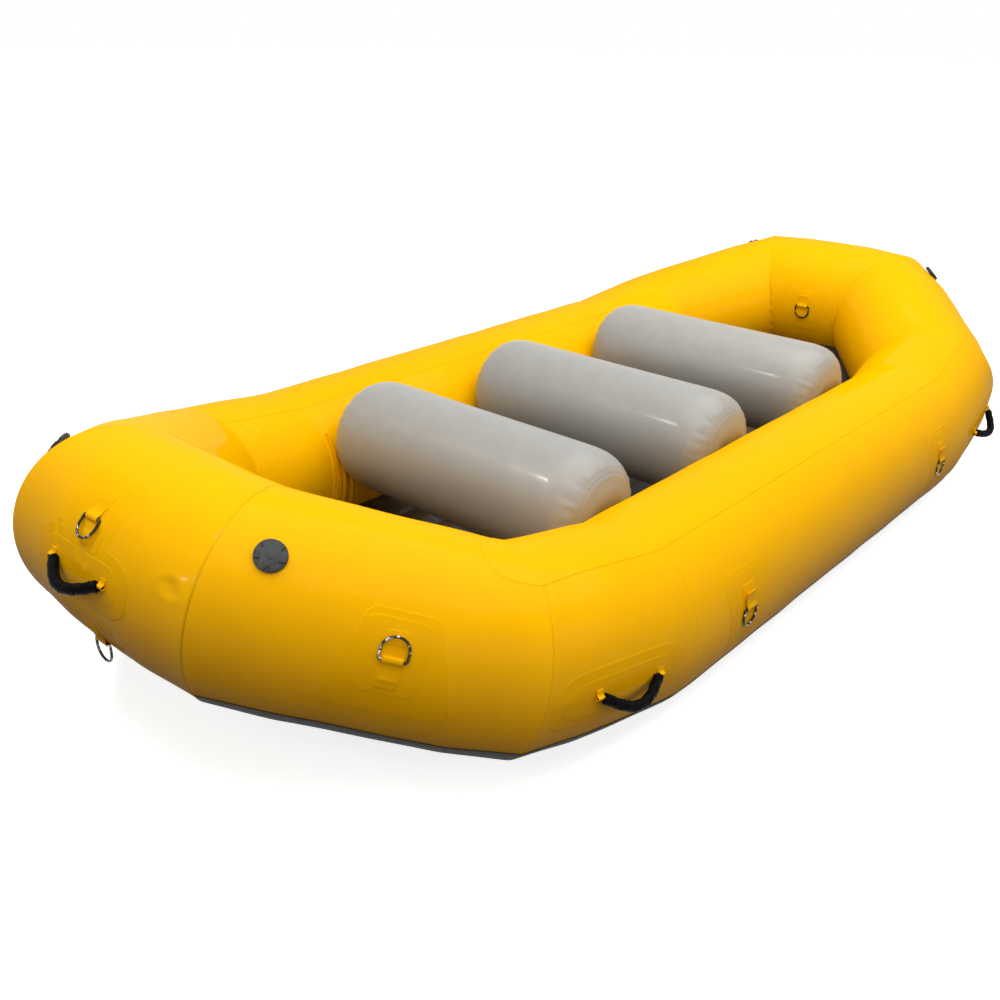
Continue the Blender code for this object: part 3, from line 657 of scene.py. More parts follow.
@dataclass
class TubeAxis:
    """The twelve-sided axis of the main tube, and the skin round it."""

    folds: tuple[Fold, ...]
    radius: float = 0.254
    half_beam: float = 0.7126
    side_length: float = 1.831
    shoulder_run: float = 0.4074
    shoulder_inset: float = 0.0500
    shoulder_rise: float = 0.0600
    quarter_run: float = 0.4200
    quarter_inset: float = 0.3950
    quarter_rise: float = 0.1790
    blends: tuple[float, float, float] = (0.14, 0.11, 0.05)
    fullness_share: float = 0.72
    facets: int = 24
    underside: float = 0.0023
    waves: tuple[Point, ...] = ((23, 2, 0.0), (37, -3, 1.3), (11, 5, 2.1))
    wave_height: float = 0.00045
    crease_run: float = 0.055
    crease_turn: float = 0.75
    crease_depth: float = 0.0016
    names: tuple[str, ...] = (
        "bow_panel", "bow_quarter_panel_port", "bow_shoulder_panel_port", "side_panel_port",
        "stern_shoulder_panel_port", "stern_quarter_panel_port", "stern_panel",
        "stern_quarter_panel_starboard", "stern_shoulder_panel_starboard", "side_panel_starboard",
        "bow_shoulder_panel_starboard", "bow_quarter_panel_starboard")

    def __post_init__(self) -> None:
        """Works out every panel's own directions and how its two ends follow their seams."""
        self.axis_height = self.underside + self.radius * math.cos(math.pi / self.facets)
        x0 = self.side_length / 2
        x1, y1 = x0 + self.shoulder_run, self.half_beam - self.shoulder_inset
        x2, y2 = x1 + self.quarter_run, y1 - self.quarter_inset
        z1 = self.axis_height + self.shoulder_rise
        bow = [((x2, y2, z1 + self.quarter_rise), self.blends[0]), ((x1, y1, z1), self.blends[1]),
               ((x0, self.half_beam, self.axis_height), self.blends[2])]
        port_stern = [((-x, y, z), blend) for (x, y, z), blend in reversed(bow)]
        starboard_stern = [((-x, -y, z), blend) for (x, y, z), blend in bow]
        starboard_bow = [((x, -y, z), blend) for (x, y, z), blend in reversed(bow)]
        ring = starboard_bow[-1:] + bow + port_stern + starboard_stern + starboard_bow[:-1]
        self.corners = np.array([place for place, _ in ring])
        self.bends = np.array([blend for _, blend in ring])
        ahead = np.roll(self.corners, -1, axis=0) - self.corners
        self.lengths = np.linalg.norm(ahead, axis=1)
        self.along = unit(ahead)
        self.out = unit(np.cross(self.along, (0.0, 0.0, 1.0)))
        self.up = np.cross(self.out, self.along)
        self.starts = np.concatenate(([0.0], np.cumsum(self.lengths)))
        self.total = float(self.starts[-1])
        self._follow_seams()

    def _square(self, panel: int, distance: float) -> Array:
        """A square section of a panel: its centre, outward and upward vectors, as rows."""
        centre = self.corners[panel] + self.along[panel] * distance
        return np.array([centre, self.out[panel], self.up[panel]])

    def mitre(self, corner: int) -> Array:
        """The section where two panels meet, the mean of their two slanting cuts.

        Args:
            corner: The corner's number, which is that of the panel after it.

        Returns:
            Its centre, outward and upward vectors, as rows.
        """
        normal = self.along[corner - 1] + self.along[corner]
        normal = normal / np.linalg.norm(normal)
        cuts = []
        for panel in (corner - 1, corner):
            along, cut = self.along[panel], self._square(panel, 0.0)
            cut[0] = self.corners[corner]
            cut[1:] -= np.outer(cut[1:] @ normal / (along @ normal), along)
            cuts.append(cut)
        return (cuts[0] + cuts[1]) / 2

    def _follow_seams(self) -> None:
        """Works out what each end of each panel is off from square."""
        count = len(self.corners)
        side = (1 - self.fullness_share) / 2
        seams = []
        for corner in range(count):
            before = self._square(corner - 1, self.lengths[corner - 1] - self.bends[corner])
            after = self._square(corner, self.bends[corner])
            seams.append(side * before + self.fullness_share * self.mitre(corner) + side * after)
        self.first_off = np.array([seams[i] - self._square(i, 0.0) for i in range(count)])
        self.last_off = np.array([seams[(i + 1) % count] - self._square(i, self.lengths[i])
                                  for i in range(count)])

    def on_panel(self, panel: Array, distance: Array, angle: Array, height: Array) -> Array:
        """Points of the skin, by panel.

        Args:
            panel: Each point's panel number.
            distance: How far along that panel's axis it lies.
            angle: Its angle round the tube.
            height: How far it stands off the skin.

        Returns:
            The points, one row each.
        """
        last_bend = self.bends[(panel + 1) % len(self.bends)]
        first = ease_from_seam(distance / self.bends[panel])[:, None]
        last = ease_from_seam((self.lengths[panel] - distance) / last_bend)[:, None]
        centre = self.corners[panel] + self.along[panel] * distance[:, None]
        rows = [base + first * self.first_off[panel, i] + last * self.last_off[panel, i]
                for i, base in enumerate((centre, self.out[panel], self.up[panel]))]
        across, upward = np.cos(angle)[:, None], np.sin(angle)[:, None]
        ray = rows[1] * across + rows[2] * upward
        away = self.out[panel] * across + self.up[panel] * upward
        lift = height + self.relief(self.starts[panel] + distance, angle)
        return rows[0] + ray * self.radius + away * lift[:, None]

    def skin(self, place: Array, angle: Array, height: Array) -> Array:
        """Points of the skin, by their place along the whole ring.

        Args:
            place: How far along the ring's axis each point lies.
            angle: Its angle round the tube.
            height: How far it stands off the skin.

        Returns:
            The points, one row each.
        """
        place = np.mod(place, self.total)
        panel = np.clip(np.searchsorted(self.starts, place, side="right") - 1, 0,
                        len(self.corners) - 1)
        return self.on_panel(panel, place - self.starts[panel], angle, height)

    def relief(self, place: Array, angle: Array) -> Array:
        """How far air pressure, creases and dents move the skin off its plain round.

        Args:
            place: Each point's place along the ring.
            angle: Its angle round the tube.

        Returns:
            The heights.
        """
        turns = math.tau / self.total
        height = self.wave_height * sum(np.sin(count * turns * place + twist * angle + shift)
                                        for count, twist, shift in self.waves)
        for corner in range(len(self.corners)):
            bend = self.along[corner] - self.along[corner - 1]
            inner = math.atan2(bend @ (self.up[corner] + self.up[corner - 1]),
                               bend @ (self.out[corner] + self.out[corner - 1]))
            off = off_round(place, self.starts[corner], self.total)
            turn = off_round(angle, inner, math.tau)
            reach = bell(off, self.crease_run) * bell(turn, self.crease_turn)
            folds = (np.cos(turn * 30 + 3 * np.sin(off * 25 + corner))
                     + 0.6 * np.cos(turn * 47 + corner))
            depth = self.crease_depth * float(np.linalg.norm(bend))
            height = height + depth * reach * (folds - 0.8)
        for fold in self.folds:
            height = height + fold.height(place, angle, self.radius)
        return height

    def facet_frame(self, panel: int, distance: float, angle: float) -> Matrix:
        """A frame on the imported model's flat facet, which its fittings stand on.

        Args:
            panel: The panel's number.
            distance: How far along the panel's axis the frame lies.
            angle: Its angle round the tube.

        Returns:
            The frame: x along the tube, y round it and z outwards.
        """
        step = math.tau / self.facets
        middle = math.floor(angle / step + 0.5) * step
        centre, out, up = self._square(panel, distance)
        low, high = (Vector(centre + self.radius * (math.cos(turn) * out + math.sin(turn) * up))
                     for turn in (middle - step / 2, middle + step / 2))
        along = Vector(self.along[panel])
        outward = along.cross((high - low).normalized()).normalized()
        share = (math.tan(angle - middle) / math.tan(step / 2) + 1) / 2
        return frame_of(along, outward.cross(along), outward, low.lerp(high, share))

    def from_raft_end(self, panel: int, distance: float) -> float:
        """Measures a place on a panel from its end nearer the raft's own end."""
        first, last = self.corners[panel], self.corners[(panel + 1) % len(self.corners)]
        return distance if abs(first[0]) >= abs(last[0]) else self.lengths[panel] - distance

    def wrap(self, panel: int, distance: float, angle: float, flat: Array, height: Array) -> Array:
        """Lays a flat pattern on the skin: its x runs along the tube and its y round it."""
        place = self.starts[panel] + distance + flat[:, 0]
        return self.skin(place, angle + flat[:, 1] / self.radius, height)


@dataclass
class RaftPart:
    """A part that follows the main tube and is dressed from the wardrobe."""

    axis: TubeAxis
    wardrobe: Wardrobe


# Main tube

@dataclass
class MainTube(RaftPart):
    """The ring of twelve welded panels with the strips along its sides' tops and its wear layer."""

    wall: float = 0.0013
    seam_gap: float = 0.0002
    around: int = 192
    step: float = 0.010
    fine_panels: tuple[int, ...] = (0, 1)
    fine_around: int = 288
    fine_step: float = 0.006
    lip: tuple[float, ...] = (0.0, 0.0009, 0.0019, 0.0045)
    lip_drop: float = 0.0003
    lip_reach: float = 0.0018
    least_step: float = 0.0015
    fold_reach_share: float = 2.5
    seam_reach: float = 0.0019
    # How dark each panel's end seams are painted, as painted shade and dirt; darkest on the bow
    # panel and the port bow quarter.
    seam_shade_and_dirt_tones: tuple[float, ...] = (0.42, 0.42, 0.16, 0.14, 0.14, 0.16, 0.20, 0.10, 0.08, 0.08,
                                     0.10, 0.12)
    layer_gap: float = 0.0003
    layer_cell: float = 0.014
    layer_end: float = 0.002
    layer_edge: float = 0.0006
    chafe_wall: float = 0.0020
    ground_gap: float = 0.0022
    chafe_angles: Spot = (math.radians(-113.0), math.radians(-35.0))
    top_angles: Spot = (math.radians(64.0), math.radians(115.0))
    top_overrun: float = 0.131
    top_wall: float = 0.0010
    # How dark the strip's edges are painted, as painted shade and dirt.
    top_seam: float = 0.45
    top_flat: float = 0.002

    def rows(self, number: int, step: float) -> Array:
        """Where a panel's rows of points lie, closer together at its welded ends and its folds.

        Args:
            number: The panel's number.
            step: How far apart the rows are elsewhere.

        Returns:
            The rows' distances along the panel, in order.
        """
        length, start = float(self.axis.lengths[number]), float(self.axis.starts[number])
        rows = lipped_rows(self.seam_gap / 2, length - self.seam_gap / 2, self.lip, step)
        for fold in self.axis.folds:
            first, last = sorted((fold.start[0] - start, fold.end[0] - start))
            reach = self.fold_reach_share * fold.width
            close = np.arange(first - reach, last + reach, fold.width / self.fold_reach_share)
            close = close[(close > 0) & (close < length)]
            close = close[np.abs(close[:, None] - rows).min(axis=1) > self.least_step]
            rows = np.sort(np.concatenate((rows, close)))
        return rows

    def build_panel(self, number: int) -> None:
        """Rolls one panel and softens its ends into the seams.

        Args:
            number: The panel's number.
        """
        name, length = self.axis.names[number], float(self.axis.lengths[number])
        fine = number in self.fine_panels
        rows = self.rows(number, self.fine_step if fine else self.step)
        piece = roll_tube(f"{name}_skin", self.fine_around if fine else self.around, len(rows),
                          "NOTHING")
        flat = coordinates(piece)
        distance = at_rows(rows, -flat[:, 2])
        off = np.minimum(distance, length - distance) - self.seam_gap / 2
        lip = -self.lip_drop * np.clip(1 - off / self.lip_reach, 0, 1) ** 2
        skin = self.axis.on_panel(np.full(len(flat), number), distance,
                                  np.arctan2(flat[:, 1], flat[:, 0]), lip)
        reshape(piece, lambda _: flattened(skin, self.ground_gap + self.layer_gap))
        # Painted shade and dirt along the welded seam, fading away from the panel's ends.
        tones = self.seam_shade_and_dirt_tones[number], self.seam_shade_and_dirt_tones[(number + 1) % len(self.seam_shade_and_dirt_tones)]
        dark = np.where(distance < length / 2, *tones)
        paint_seam_shade_and_dirt(piece, dark * np.clip(1 - off / self.seam_reach, 0, 1))
        finish_with(piece, "SOLIDIFY", thickness=self.wall, offset=-1)
        smooth(piece)
        fit(piece, self.wardrobe.tube, replaced=[name])

    def build_chafe_layer(self, side: str, first: float, last: float) -> None:
        """Lays the wear layer under one side.

        Args:
            side: The side's name.
            first: Where along the ring it begins.
            last: Where it ends.
        """
        low, high = self.chafe_angles
        columns = int((last - first) / self.layer_cell)
        rows = int((high - low) * self.axis.radius / self.layer_cell)
        piece = add_grid(f"chafe_layer_{side}", columns, rows)

        def shape(flat: Array) -> Array:
            """Lays the grid on the skin, flat where it stands on the ground."""
            place = first + (flat[:, 0] + 1) / 2 * (last - first)
            angle = low + (flat[:, 1] + 1) / 2 * (high - low)
            return flattened(self.axis.skin(place, angle, self.layer_gap), self.ground_gap)

        reshape(piece, shape)
        finish_with(piece, "SOLIDIFY", thickness=self.chafe_wall, offset=1)
        round_edges(piece, self.layer_edge)
        smooth(piece)
        fit(piece, self.wardrobe.chafe, replaced=[f"chafe_strip_{side}"])

    def build_top_strip(self, side: str, first: int) -> None:
        """Welds the long strip with round ends along the top of a side.

        Args:
            side: The side's name.
            first: The number of the panel that it begins on.
        """
        low, high = self.top_angles
        starts = self.axis.starts
        length = float(starts[first + 4] - starts[first + 1]) + 2 * self.top_overrun
        width = (high - low) * self.axis.radius
        middle = float(self.axis.lengths[first]) - self.top_overrun + length / 2
        sheet = SkinSheet(self.axis, first, middle, (low + high) / 2, wall=self.top_wall,
                          cell=self.layer_cell, seam=self.top_seam)
        piece = sheet.build(f"top_strip_{side}", mirrored_corners(length, width),
                            (width - self.top_flat) / 2, 0.0)
        fit(piece, self.wardrobe.tube)

    def build(self) -> None:
        """Builds the panels, the strips along their tops and the wear layers under them."""
        for number in range(len(self.axis.names)):
            self.build_panel(number)
        starts = self.axis.starts
        for side, first in (("port", 1), ("starboard", 7)):
            self.build_chafe_layer(side, starts[first] + self.layer_end,
                                   starts[first + 5] - self.layer_end)
            self.build_top_strip(side, first)
        for side in ("bow", "port", "stern", "starboard"):
            paint(frame["nodes"][f"chamber_baffle_{side}"], self.wardrobe.tube)


# Thwarts

@dataclass
class Thwart(RaftPart):
    """A round cross tube, tapered at its ends and pressed between the side tubes."""

    place: str
    x: float
    radius: float = 0.1836
    half_length: float = 0.526
    far_half_length: float = 0.496
    rise: float = 0.142
    around: int = 120
    rows: int = 150
    profile: tuple[Spot, ...] = (
        (0.0, 1.0), (0.70, 1.0), (0.80, 0.995), (0.86, 0.965), (0.905, 0.915), (0.945, 0.83),
        (0.975, 0.68), (0.992, 0.45), (1.0, 0.0))
    end_seam_share: float = 0.966
    seam_shade_and_dirt_tone: float = 0.24
    seam_width: float = 0.0013
    groove: float = 0.0004
    groove_share: float = 0.004
    pucker: float = 0.0021
    pucker_share: float = 0.035
    pucker_width_share: float = 0.028
    side_gap: float = 0.0015
    seam_crowd: Spot = (9, 0.02)
    end_crowd: Spot = (5, 0.03)

    def build(self) -> None:
        """Builds the thwart."""
        name = f"thwart_{self.place}"
        piece = roll_tube(f"{name}_tube", self.around, self.rows)
        with editing(piece, "FACE") as mesh:
            for face in mesh.faces:
                face.select_set(len(face.verts) > 4)
            bpy.ops.mesh.poke()
        share = at_rows(self._stations(), coordinates(piece)[:, 2])
        reshape(piece, lambda flat: self._shape(flat, share))
        # Painted shade and dirt along the end seams.
        off = (np.abs(share) - self.end_seam_share) * self.half_length
        paint_seam_shade_and_dirt(piece, self.seam_shade_and_dirt_tone * bell(off, self.seam_width))
        smooth(piece, 50)
        fit(piece, self.wardrobe.thwart, replaced=[name])

    def _stations(self) -> Array:
        """Crowds the rows of points towards the end seams and the ends.

        Returns:
            Where the rows lie, as shares of the half length.
        """
        fine = np.linspace(-1, 1, 4001)
        past = np.abs(fine)
        crowd = (1 + self.seam_crowd[0] * bell(past - self.end_seam_share, self.seam_crowd[1])
                 + self.end_crowd[0] * bell(1 - past, self.end_crowd[1]))
        total = np.concatenate(([0.0], np.cumsum((crowd[1:] + crowd[:-1]) / 2)))
        return np.interp(np.linspace(0, total[-1], self.rows), total, fine)

    def _shape(self, flat: Array, share: Array) -> Array:
        """Gives the thwart its taper, its puckers and the hollows where it meets the side tubes.

        Args:
            flat: The plain tube's points.
            share: Where each lies along the thwart, from -1 to 1.

        Returns:
            The thwart's points.
        """
        angle = np.arctan2(flat[:, 1], flat[:, 0])
        radius = self.radius * np.interp(np.abs(share), *np.array(self.profile).T)
        on_axis = np.hypot(flat[:, 0], flat[:, 1]) < 0.5
        radius = np.where(on_axis, 0.0, np.maximum(radius, self.radius * 0.05))
        past = np.abs(share) - self.end_seam_share
        folds = np.cos(angle * 26 + 3 * np.sin(3 * angle)) + 0.7 * np.cos(angle * 41 + 1)
        near_end = bell(past + self.pucker_share, self.pucker_width_share)
        radius = (radius - self.pucker * near_end * (folds + 1)
                  - self.groove * bell(past, self.groove_share))
        half = np.where(share > 0, self.half_length, self.far_half_length)
        x, y = self.x + radius * np.cos(angle), share * half
        side = np.sign(y) * self.axis.half_beam
        off = np.stack([y - side, self.rise + radius * np.sin(angle)], axis=1)
        reach = np.linalg.norm(off, axis=1)
        off *= (np.maximum(reach, self.axis.radius + self.side_gap) / reach)[:, None]
        return np.stack([x, side + off[:, 0], self.axis.axis_height + off[:, 1]], axis=1)


# Floor

@dataclass
class InflatedFloor(RaftPart):
    """The dark floor, quilted into lengthwise chambers and laced to the tubes."""

    thickness: float = 0.10
    chambers: int = 9
    swell: float = 0.011
    columns: int = 260
    rows: int = 144
    end_gap: float = 0.004
    pucker: float = 0.0018
    wander: Spot = (0.004, 0.003)
    fullness_share: float = 0.93
    seat_angle: float = math.radians(225)
    seat_end: float = 2.0
    tuck_reach: float = 0.10

    def build(self) -> None:
        """Builds the floor's skin."""
        piece = add_grid("floor_skin", self.columns, self.rows)
        _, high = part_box("floor")
        seats, sides = self._seats(), self._sides()

        def shape(flat: Array) -> Array:
            """Quilts the grid, crowns it to the tubes' rise and draws its edges in."""
            x = flat[:, 0] * (high.x - self.end_gap)
            y = flat[:, 1] * np.interp(np.abs(x), *sides)
            quilt = np.abs(np.cos(y / high.y * self.chambers * math.pi / 2)) ** 0.6
            puckers = self.pucker * np.sin(x * 130 + 4 * np.sin(y * 31)) * (1 - quilt)
            wander = (self.wander[0] * np.sin(x * 5.1 + y * 3)
                      + self.wander[1] * np.sin(x * 11.3 - y * 7 + 1))
            edge = np.sqrt(np.clip(1 - np.abs(flat[:, :2]).max(axis=1) ** 24, 0, 1))
            rise = self.thickness / 2 - self.swell + self.swell * quilt + puckers + wander
            return np.stack([x, y, np.interp(np.abs(x), *seats) + rise * edge], axis=1)

        reshape(piece, shape)
        finish_with(piece, "SOLIDIFY", thickness=self.thickness * self.fullness_share, offset=-1,
                    use_even_offset=False)
        smooth(piece, 60)
        fit(piece, self.wardrobe.floor, replaced=["floor"])

    def _at_corners(self, reach: float, angle: float) -> Array:
        """Points off the axis at its corners, from amidships on.

        Args:
            reach: How far off the axis they lie.
            angle: Their angle round the tube.

        Returns:
            The points, one row each.
        """
        points = []
        for corner in (3, 2, 1):
            centre, out, up = self.axis.mitre(corner)
            points.append(centre + reach * (math.cos(angle) * out + math.sin(angle) * up))
        return np.array(points)

    def _seats(self) -> tuple[Array, Array]:
        """The height of the floor's middle by its distance from amidships."""
        x, _, z = self._at_corners(self.axis.radius, self.seat_angle).T
        end = z[2] + (z[2] - z[1]) / (x[2] - x[1]) * (self.seat_end - x[2])
        return np.array((0.0, *x, self.seat_end)), np.array((z[0], *z, end))

    def _sides(self) -> tuple[Array, Array]:
        """Half the floor's width by its distance from amidships, up to the tubes' inner walls."""
        x, y, _ = self._at_corners(self.tuck_reach, math.pi).T
        return np.array((0.0, *x, x[2] + 0.01)), np.array((y[0], *y, y[2] * 0.9))


# Fittings on the skin

@dataclass
class SkinSheet:
    """A sheet of fabric with rounded corners and sealed edges, darkened with painted shade and
    dirt, that follows the tube.
    """

    axis: TubeAxis
    panel: int
    distance: float
    angle: float
    wall: float = 0.0008
    cell: float = 0.008
    # How dark its edges are painted, as painted shade and dirt.
    seam: float = 0.15
    seam_width: float = 0.0011
    edge: float = 0.0026
    embed: float = 0.0004
    lip: tuple[float, ...] = (0.0, 0.0008, 0.0017, 0.0028, 0.0045)

    def build(self, name: str, corners: Sequence[Spot], rounding: float, height: float) -> Piece:
        """Cuts the sheet and lays it on the skin.

        Args:
            name: The sheet's name.
            corners: Its flat pattern's corners: low left, low right, high left, high right.
            rounding: The radius of its corners.
            height: How high above the skin it lies.

        Returns:
            The sheet.
        """
        low_left, low_right, high_left, high_right = (np.array(corner) for corner in corners)
        width = math.dist(low_left, low_right) / 2 + math.dist(high_left, high_right) / 2
        depth = math.dist(low_left, high_left) / 2 + math.dist(low_right, high_right) / 2
        across = lipped_rows(0.0, width, self.lip, self.cell)
        upward = lipped_rows(0.0, depth, self.lip, self.cell)
        piece = add_grid(name, len(across) - 1, len(upward) - 1)
        flat = coordinates(piece)
        u, v = at_rows(across, flat[:, 0]), at_rows(upward, flat[:, 1])
        inside = np.minimum(np.minimum(u, width - u), np.minimum(v, depth - v))
        u, v = self._rounded(u, v, width, depth, rounding)
        share, rise = (u / width)[:, None], (v / depth)[:, None]
        spots = ((1 - share) * (1 - rise) * low_left + share * (1 - rise) * low_right
                 + (1 - share) * rise * high_left + share * rise * high_right)
        top = height + self.wall * (1 - (1 - np.clip(inside / self.edge, 0, 1)) ** 2)
        reshape(piece, lambda _: self.axis.wrap(self.panel, self.distance, self.angle, spots, top))
        # Painted shade and dirt along the sheet's edge.
        paint_seam_shade_and_dirt(piece, self.seam * np.clip(1.3 - inside / self.seam_width, 0, 1))
        finish_with(piece, "SOLIDIFY", thickness=self.wall + self.embed, offset=-1)
        smooth(piece, 60)
        return piece

    @staticmethod
    def _rounded(u: Array, v: Array, width: float, depth: float,
                 rounding: float) -> tuple[Array, Array]:
        """Draws the corners of a rectangle of points in to a radius.

        Args:
            u: The points' places across the rectangle.
            v: Their places up it.
            width: How wide it is.
            depth: How high it is.
            rounding: The radius.

        Returns:
            The new places across it and up it.
        """
        off_u = np.clip(rounding - u, 0, None) - np.clip(rounding - (width - u), 0, None)
        off_v = np.clip(rounding - v, 0, None) - np.clip(rounding - (depth - v), 0, None)
        reach = np.hypot(off_u, off_v)
        longer = np.maximum(np.abs(off_u), np.abs(off_v))
        shrink = np.where(reach > 0, longer / np.maximum(reach, 1e-9), 1)
        return u + off_u * (1 - shrink), v + off_v * (1 - shrink)


@dataclass(frozen=True)
class WebbingLoop:
    """A strip of webbing round a bar, with its two tails on the patch."""

    width: float
    bar: float
    height: float
    side: int
    tail: float = 0.046
    wall: float = 0.0016
    low: float = 0.0036
    centre: float = 0.0
    slack: float = 1.0
    bar_gap: float = 0.0004
    edge: float = 0.0005

    def path(self) -> Array:
        """The webbing's way along the patch, round the bar and back.

        Returns:
            Its points as seen from its edge, one row each.
        """
        bore = self.bar + self.bar_gap + self.wall / 2
        turns = np.linspace(-math.pi / 2, math.pi * 0.62, 30)
        loop = np.stack([bore * self.slack * np.cos(turns), self.height + bore * np.sin(turns)],
                        axis=1)
        under = self.height - bore
        low = min(self.low, under)
        shares = np.linspace(0, 1, 14)[:-1]
        start = np.stack([-self.tail * (1 - shares), low + (under - low) * shares ** 3], axis=1)
        end, upper = loop[-1], low + self.wall * 1.05
        shares = np.linspace(0, 1, 22)[1:]
        back = np.stack([end[0] - (self.tail + end[0]) * shares,
                         upper + (end[1] - upper) * np.exp(-5 * shares)], axis=1)
        return np.concatenate((start, loop, back))

    def build(self, at: Matrix) -> Piece:
        """Lays the webbing along its way, with rounded edges.

        Args:
            at: The frame of the facet that it lies on.

        Returns:
            The webbing.
        """
        path = self.path()
        lengths = lengths_along(path)
        piece = add_grid("webbing", 12, 90)

        def shape(flat: Array) -> Array:
            """Lays the grid along the path."""
            spot = on_path(path, lengths, (flat[:, 1] + 1) / 2 * lengths[-1])
            across = self.centre + flat[:, 0] * self.width / 2
            return placed(at, np.stack([across, spot[:, 0] * self.side, spot[:, 1]], axis=1))

        reshape(piece, shape)
        finish_with(piece, "SOLIDIFY", thickness=self.wall, offset=0)
        face_outwards(piece)
        round_edges(piece, self.edge)
        smooth(piece, 50)
        return piece


@dataclass
class SkinFitting(RaftPart):
    """A fitting that hangs from patches welded to a panel."""

    place: str
    panel: int
    distance: float
    angle: float

    def sheet(self, **sizes: float) -> SkinSheet:
        """A sheet about the fitting's own place."""
        return SkinSheet(self.axis, self.panel, self.distance, self.angle, **sizes)

    def facet(self) -> Matrix:
        """The frame of the facet that the fitting stands on."""
        return self.axis.facet_frame(self.panel, self.distance, self.angle)


@dataclass
class DRing(SkinFitting):
    """A steel D-ring, its webbing loop and the patches that hold it."""

    folded_up: bool
    wire: float = 0.0032
    width: float = 0.063
    drop: float = 0.053
    corner: float = 0.007
    webbing: float = 0.045
    slack: float = 1.9
    outer: Point = (0.16, 0.225, 0.22)
    inner: Point = (0.125, 0.175, 0.012)
    folded_outer: tuple[Spot, ...] = (
        (-0.14, -0.135), (0.16, -0.135), (-0.072, 0.107), (0.085, 0.107))
    folded_inner: Point = (0.14, 0.172, 0.004)
    roundings: Point = (0.030, 0.022, 0.006)
    inner_height: float = 0.0007
    covers: tuple[tuple[float, ...], ...] = (
        (0.056, 0.044, -0.044, 0.0024), (0.050, 0.036, 0.048, 0.0010))
    cover_wall: float = 0.0012
    cover_cell: float = 0.006
    # How dark the covers' edges are painted, as painted shade and dirt.
    cover_edge_shade_and_dirt: float = 0.06
    cover_edge: float = 0.004
    model_gap: float = 0.0003
    model_patch: float = 0.0015
    model_embed: float = 0.0007
    model_wire: float = 0.003
    model_play: float = 0.0008
    model_loop: float = 0.0022

    @property
    def standoff(self) -> float:
        """How far the ring's hinge stands off the model's facet."""
        stem = (self.model_gap + self.model_patch) * math.cos(math.pi / self.axis.facets)
        return stem - self.model_embed + self.model_wire + self.model_play + self.model_loop

    def outline(self) -> Array:
        """The centre line of the wire, from the middle of its straight bar and back to it.

        Returns:
            The line's points, one row each.
        """
        half, turn = self.width / 2, self.corner
        quarter, bow = np.linspace(0, math.pi / 2, 9), np.linspace(0, math.pi, 33)
        middle = np.zeros((1, 2))
        first = np.stack([half - turn + turn * np.sin(quarter), turn - turn * np.cos(quarter)],
                         axis=1)
        arc = np.stack([half * np.cos(bow), self.drop - half + half * np.sin(bow)], axis=1)
        last = np.stack([-half + turn - turn * np.cos(quarter), turn - turn * np.sin(quarter)],
                        axis=1)
        return np.concatenate((middle, first, arc, last, middle))

    def build_ring(self, at: Matrix) -> None:
        """Bends the wire into its D.

        Args:
            at: The ring's frame, x on its hinge and y as it hangs.
        """
        body, minor = f"d_ring_{self.place}", 0.25
        piece = add_primitive(bpy.ops.mesh.primitive_torus_add, f"{body}_steel",
                              major_segments=84, minor_segments=14, major_radius=1,
                              minor_radius=minor)
        path = self.outline()
        lengths = lengths_along(path)

        def shape(flat: Array) -> Array:
            """Bends the plain torus along the outline."""
            turn = np.mod(np.arctan2(flat[:, 1], flat[:, 0]), math.tau) / math.tau
            run = turn * lengths[-1]
            ahead, behind = (on_path(path, lengths, np.mod(run + step, lengths[-1]))
                             for step in (0.0008, -0.0008))
            tangent = unit(ahead - behind)
            outwards = np.stack([tangent[:, 1], -tangent[:, 0]], axis=1)
            off = (np.hypot(flat[:, 0], flat[:, 1]) - 1) / minor * self.wire
            spot = on_path(path, lengths, run) + outwards * off[:, None]
            return placed(at, np.column_stack([spot, flat[:, 2] / minor * self.wire]))

        reshape(piece, shape)
        face_outwards(piece)
        smooth(piece)
        fit(piece, self.wardrobe.steel, body, [body])

    def build(self) -> None:
        """Builds the ring, its loop and its patches."""
        at = self.facet()
        rest = math.pi if self.folded_up else hanging_angle(at, 0)
        self.build_ring(swing_frame(at, self.standoff, rest))
        side = downward_side(at) * (-1 if self.folded_up else 1)
        loop = WebbingLoop(self.webbing, self.wire, self.standoff, side, slack=self.slack)
        pieces = [loop.build(at), *self.build_patches(downward_side(at), side)]
        fit(joined(pieces, f"d_ring_{self.place}_patch"), self.wardrobe.patch,
            replaced=[f"d_ring_anchor_{self.place}"])

    def build_patches(self, down: int, side: int) -> list[Piece]:
        """Welds the two patches, one on the other, and the covers over the webbing's tails.

        Args:
            down: Which way round the tube is down.
            side: Which way round it the ring lies.

        Returns:
            The sheets.
        """
        outer = self.folded_outer if self.folded_up else mirrored_corners(*self.outer)
        width, height, rise = self.folded_inner if self.folded_up else self.inner
        inner = mirrored_corners(width, height, rise=rise)
        if down > 0:
            outer, inner = ([(x, -y) for x, y in (*sheet[2:], *sheet[:2])]
                            for sheet in (outer, inner))
        patch = self.sheet()
        pieces = [patch.build("outer", outer, self.roundings[0], 0.0),
                  patch.build("inner", inner, self.roundings[1], self.inner_height)]
        tail = self.sheet(wall=self.cover_wall, cell=self.cover_cell, seam=self.cover_edge_shade_and_dirt,
                          edge=self.cover_edge)
        for width, height, rise, top in self.covers:
            corners = mirrored_corners(width, height, rise=side * rise)
            pieces.append(tail.build("cover", corners, self.roundings[2], top))
        return pieces


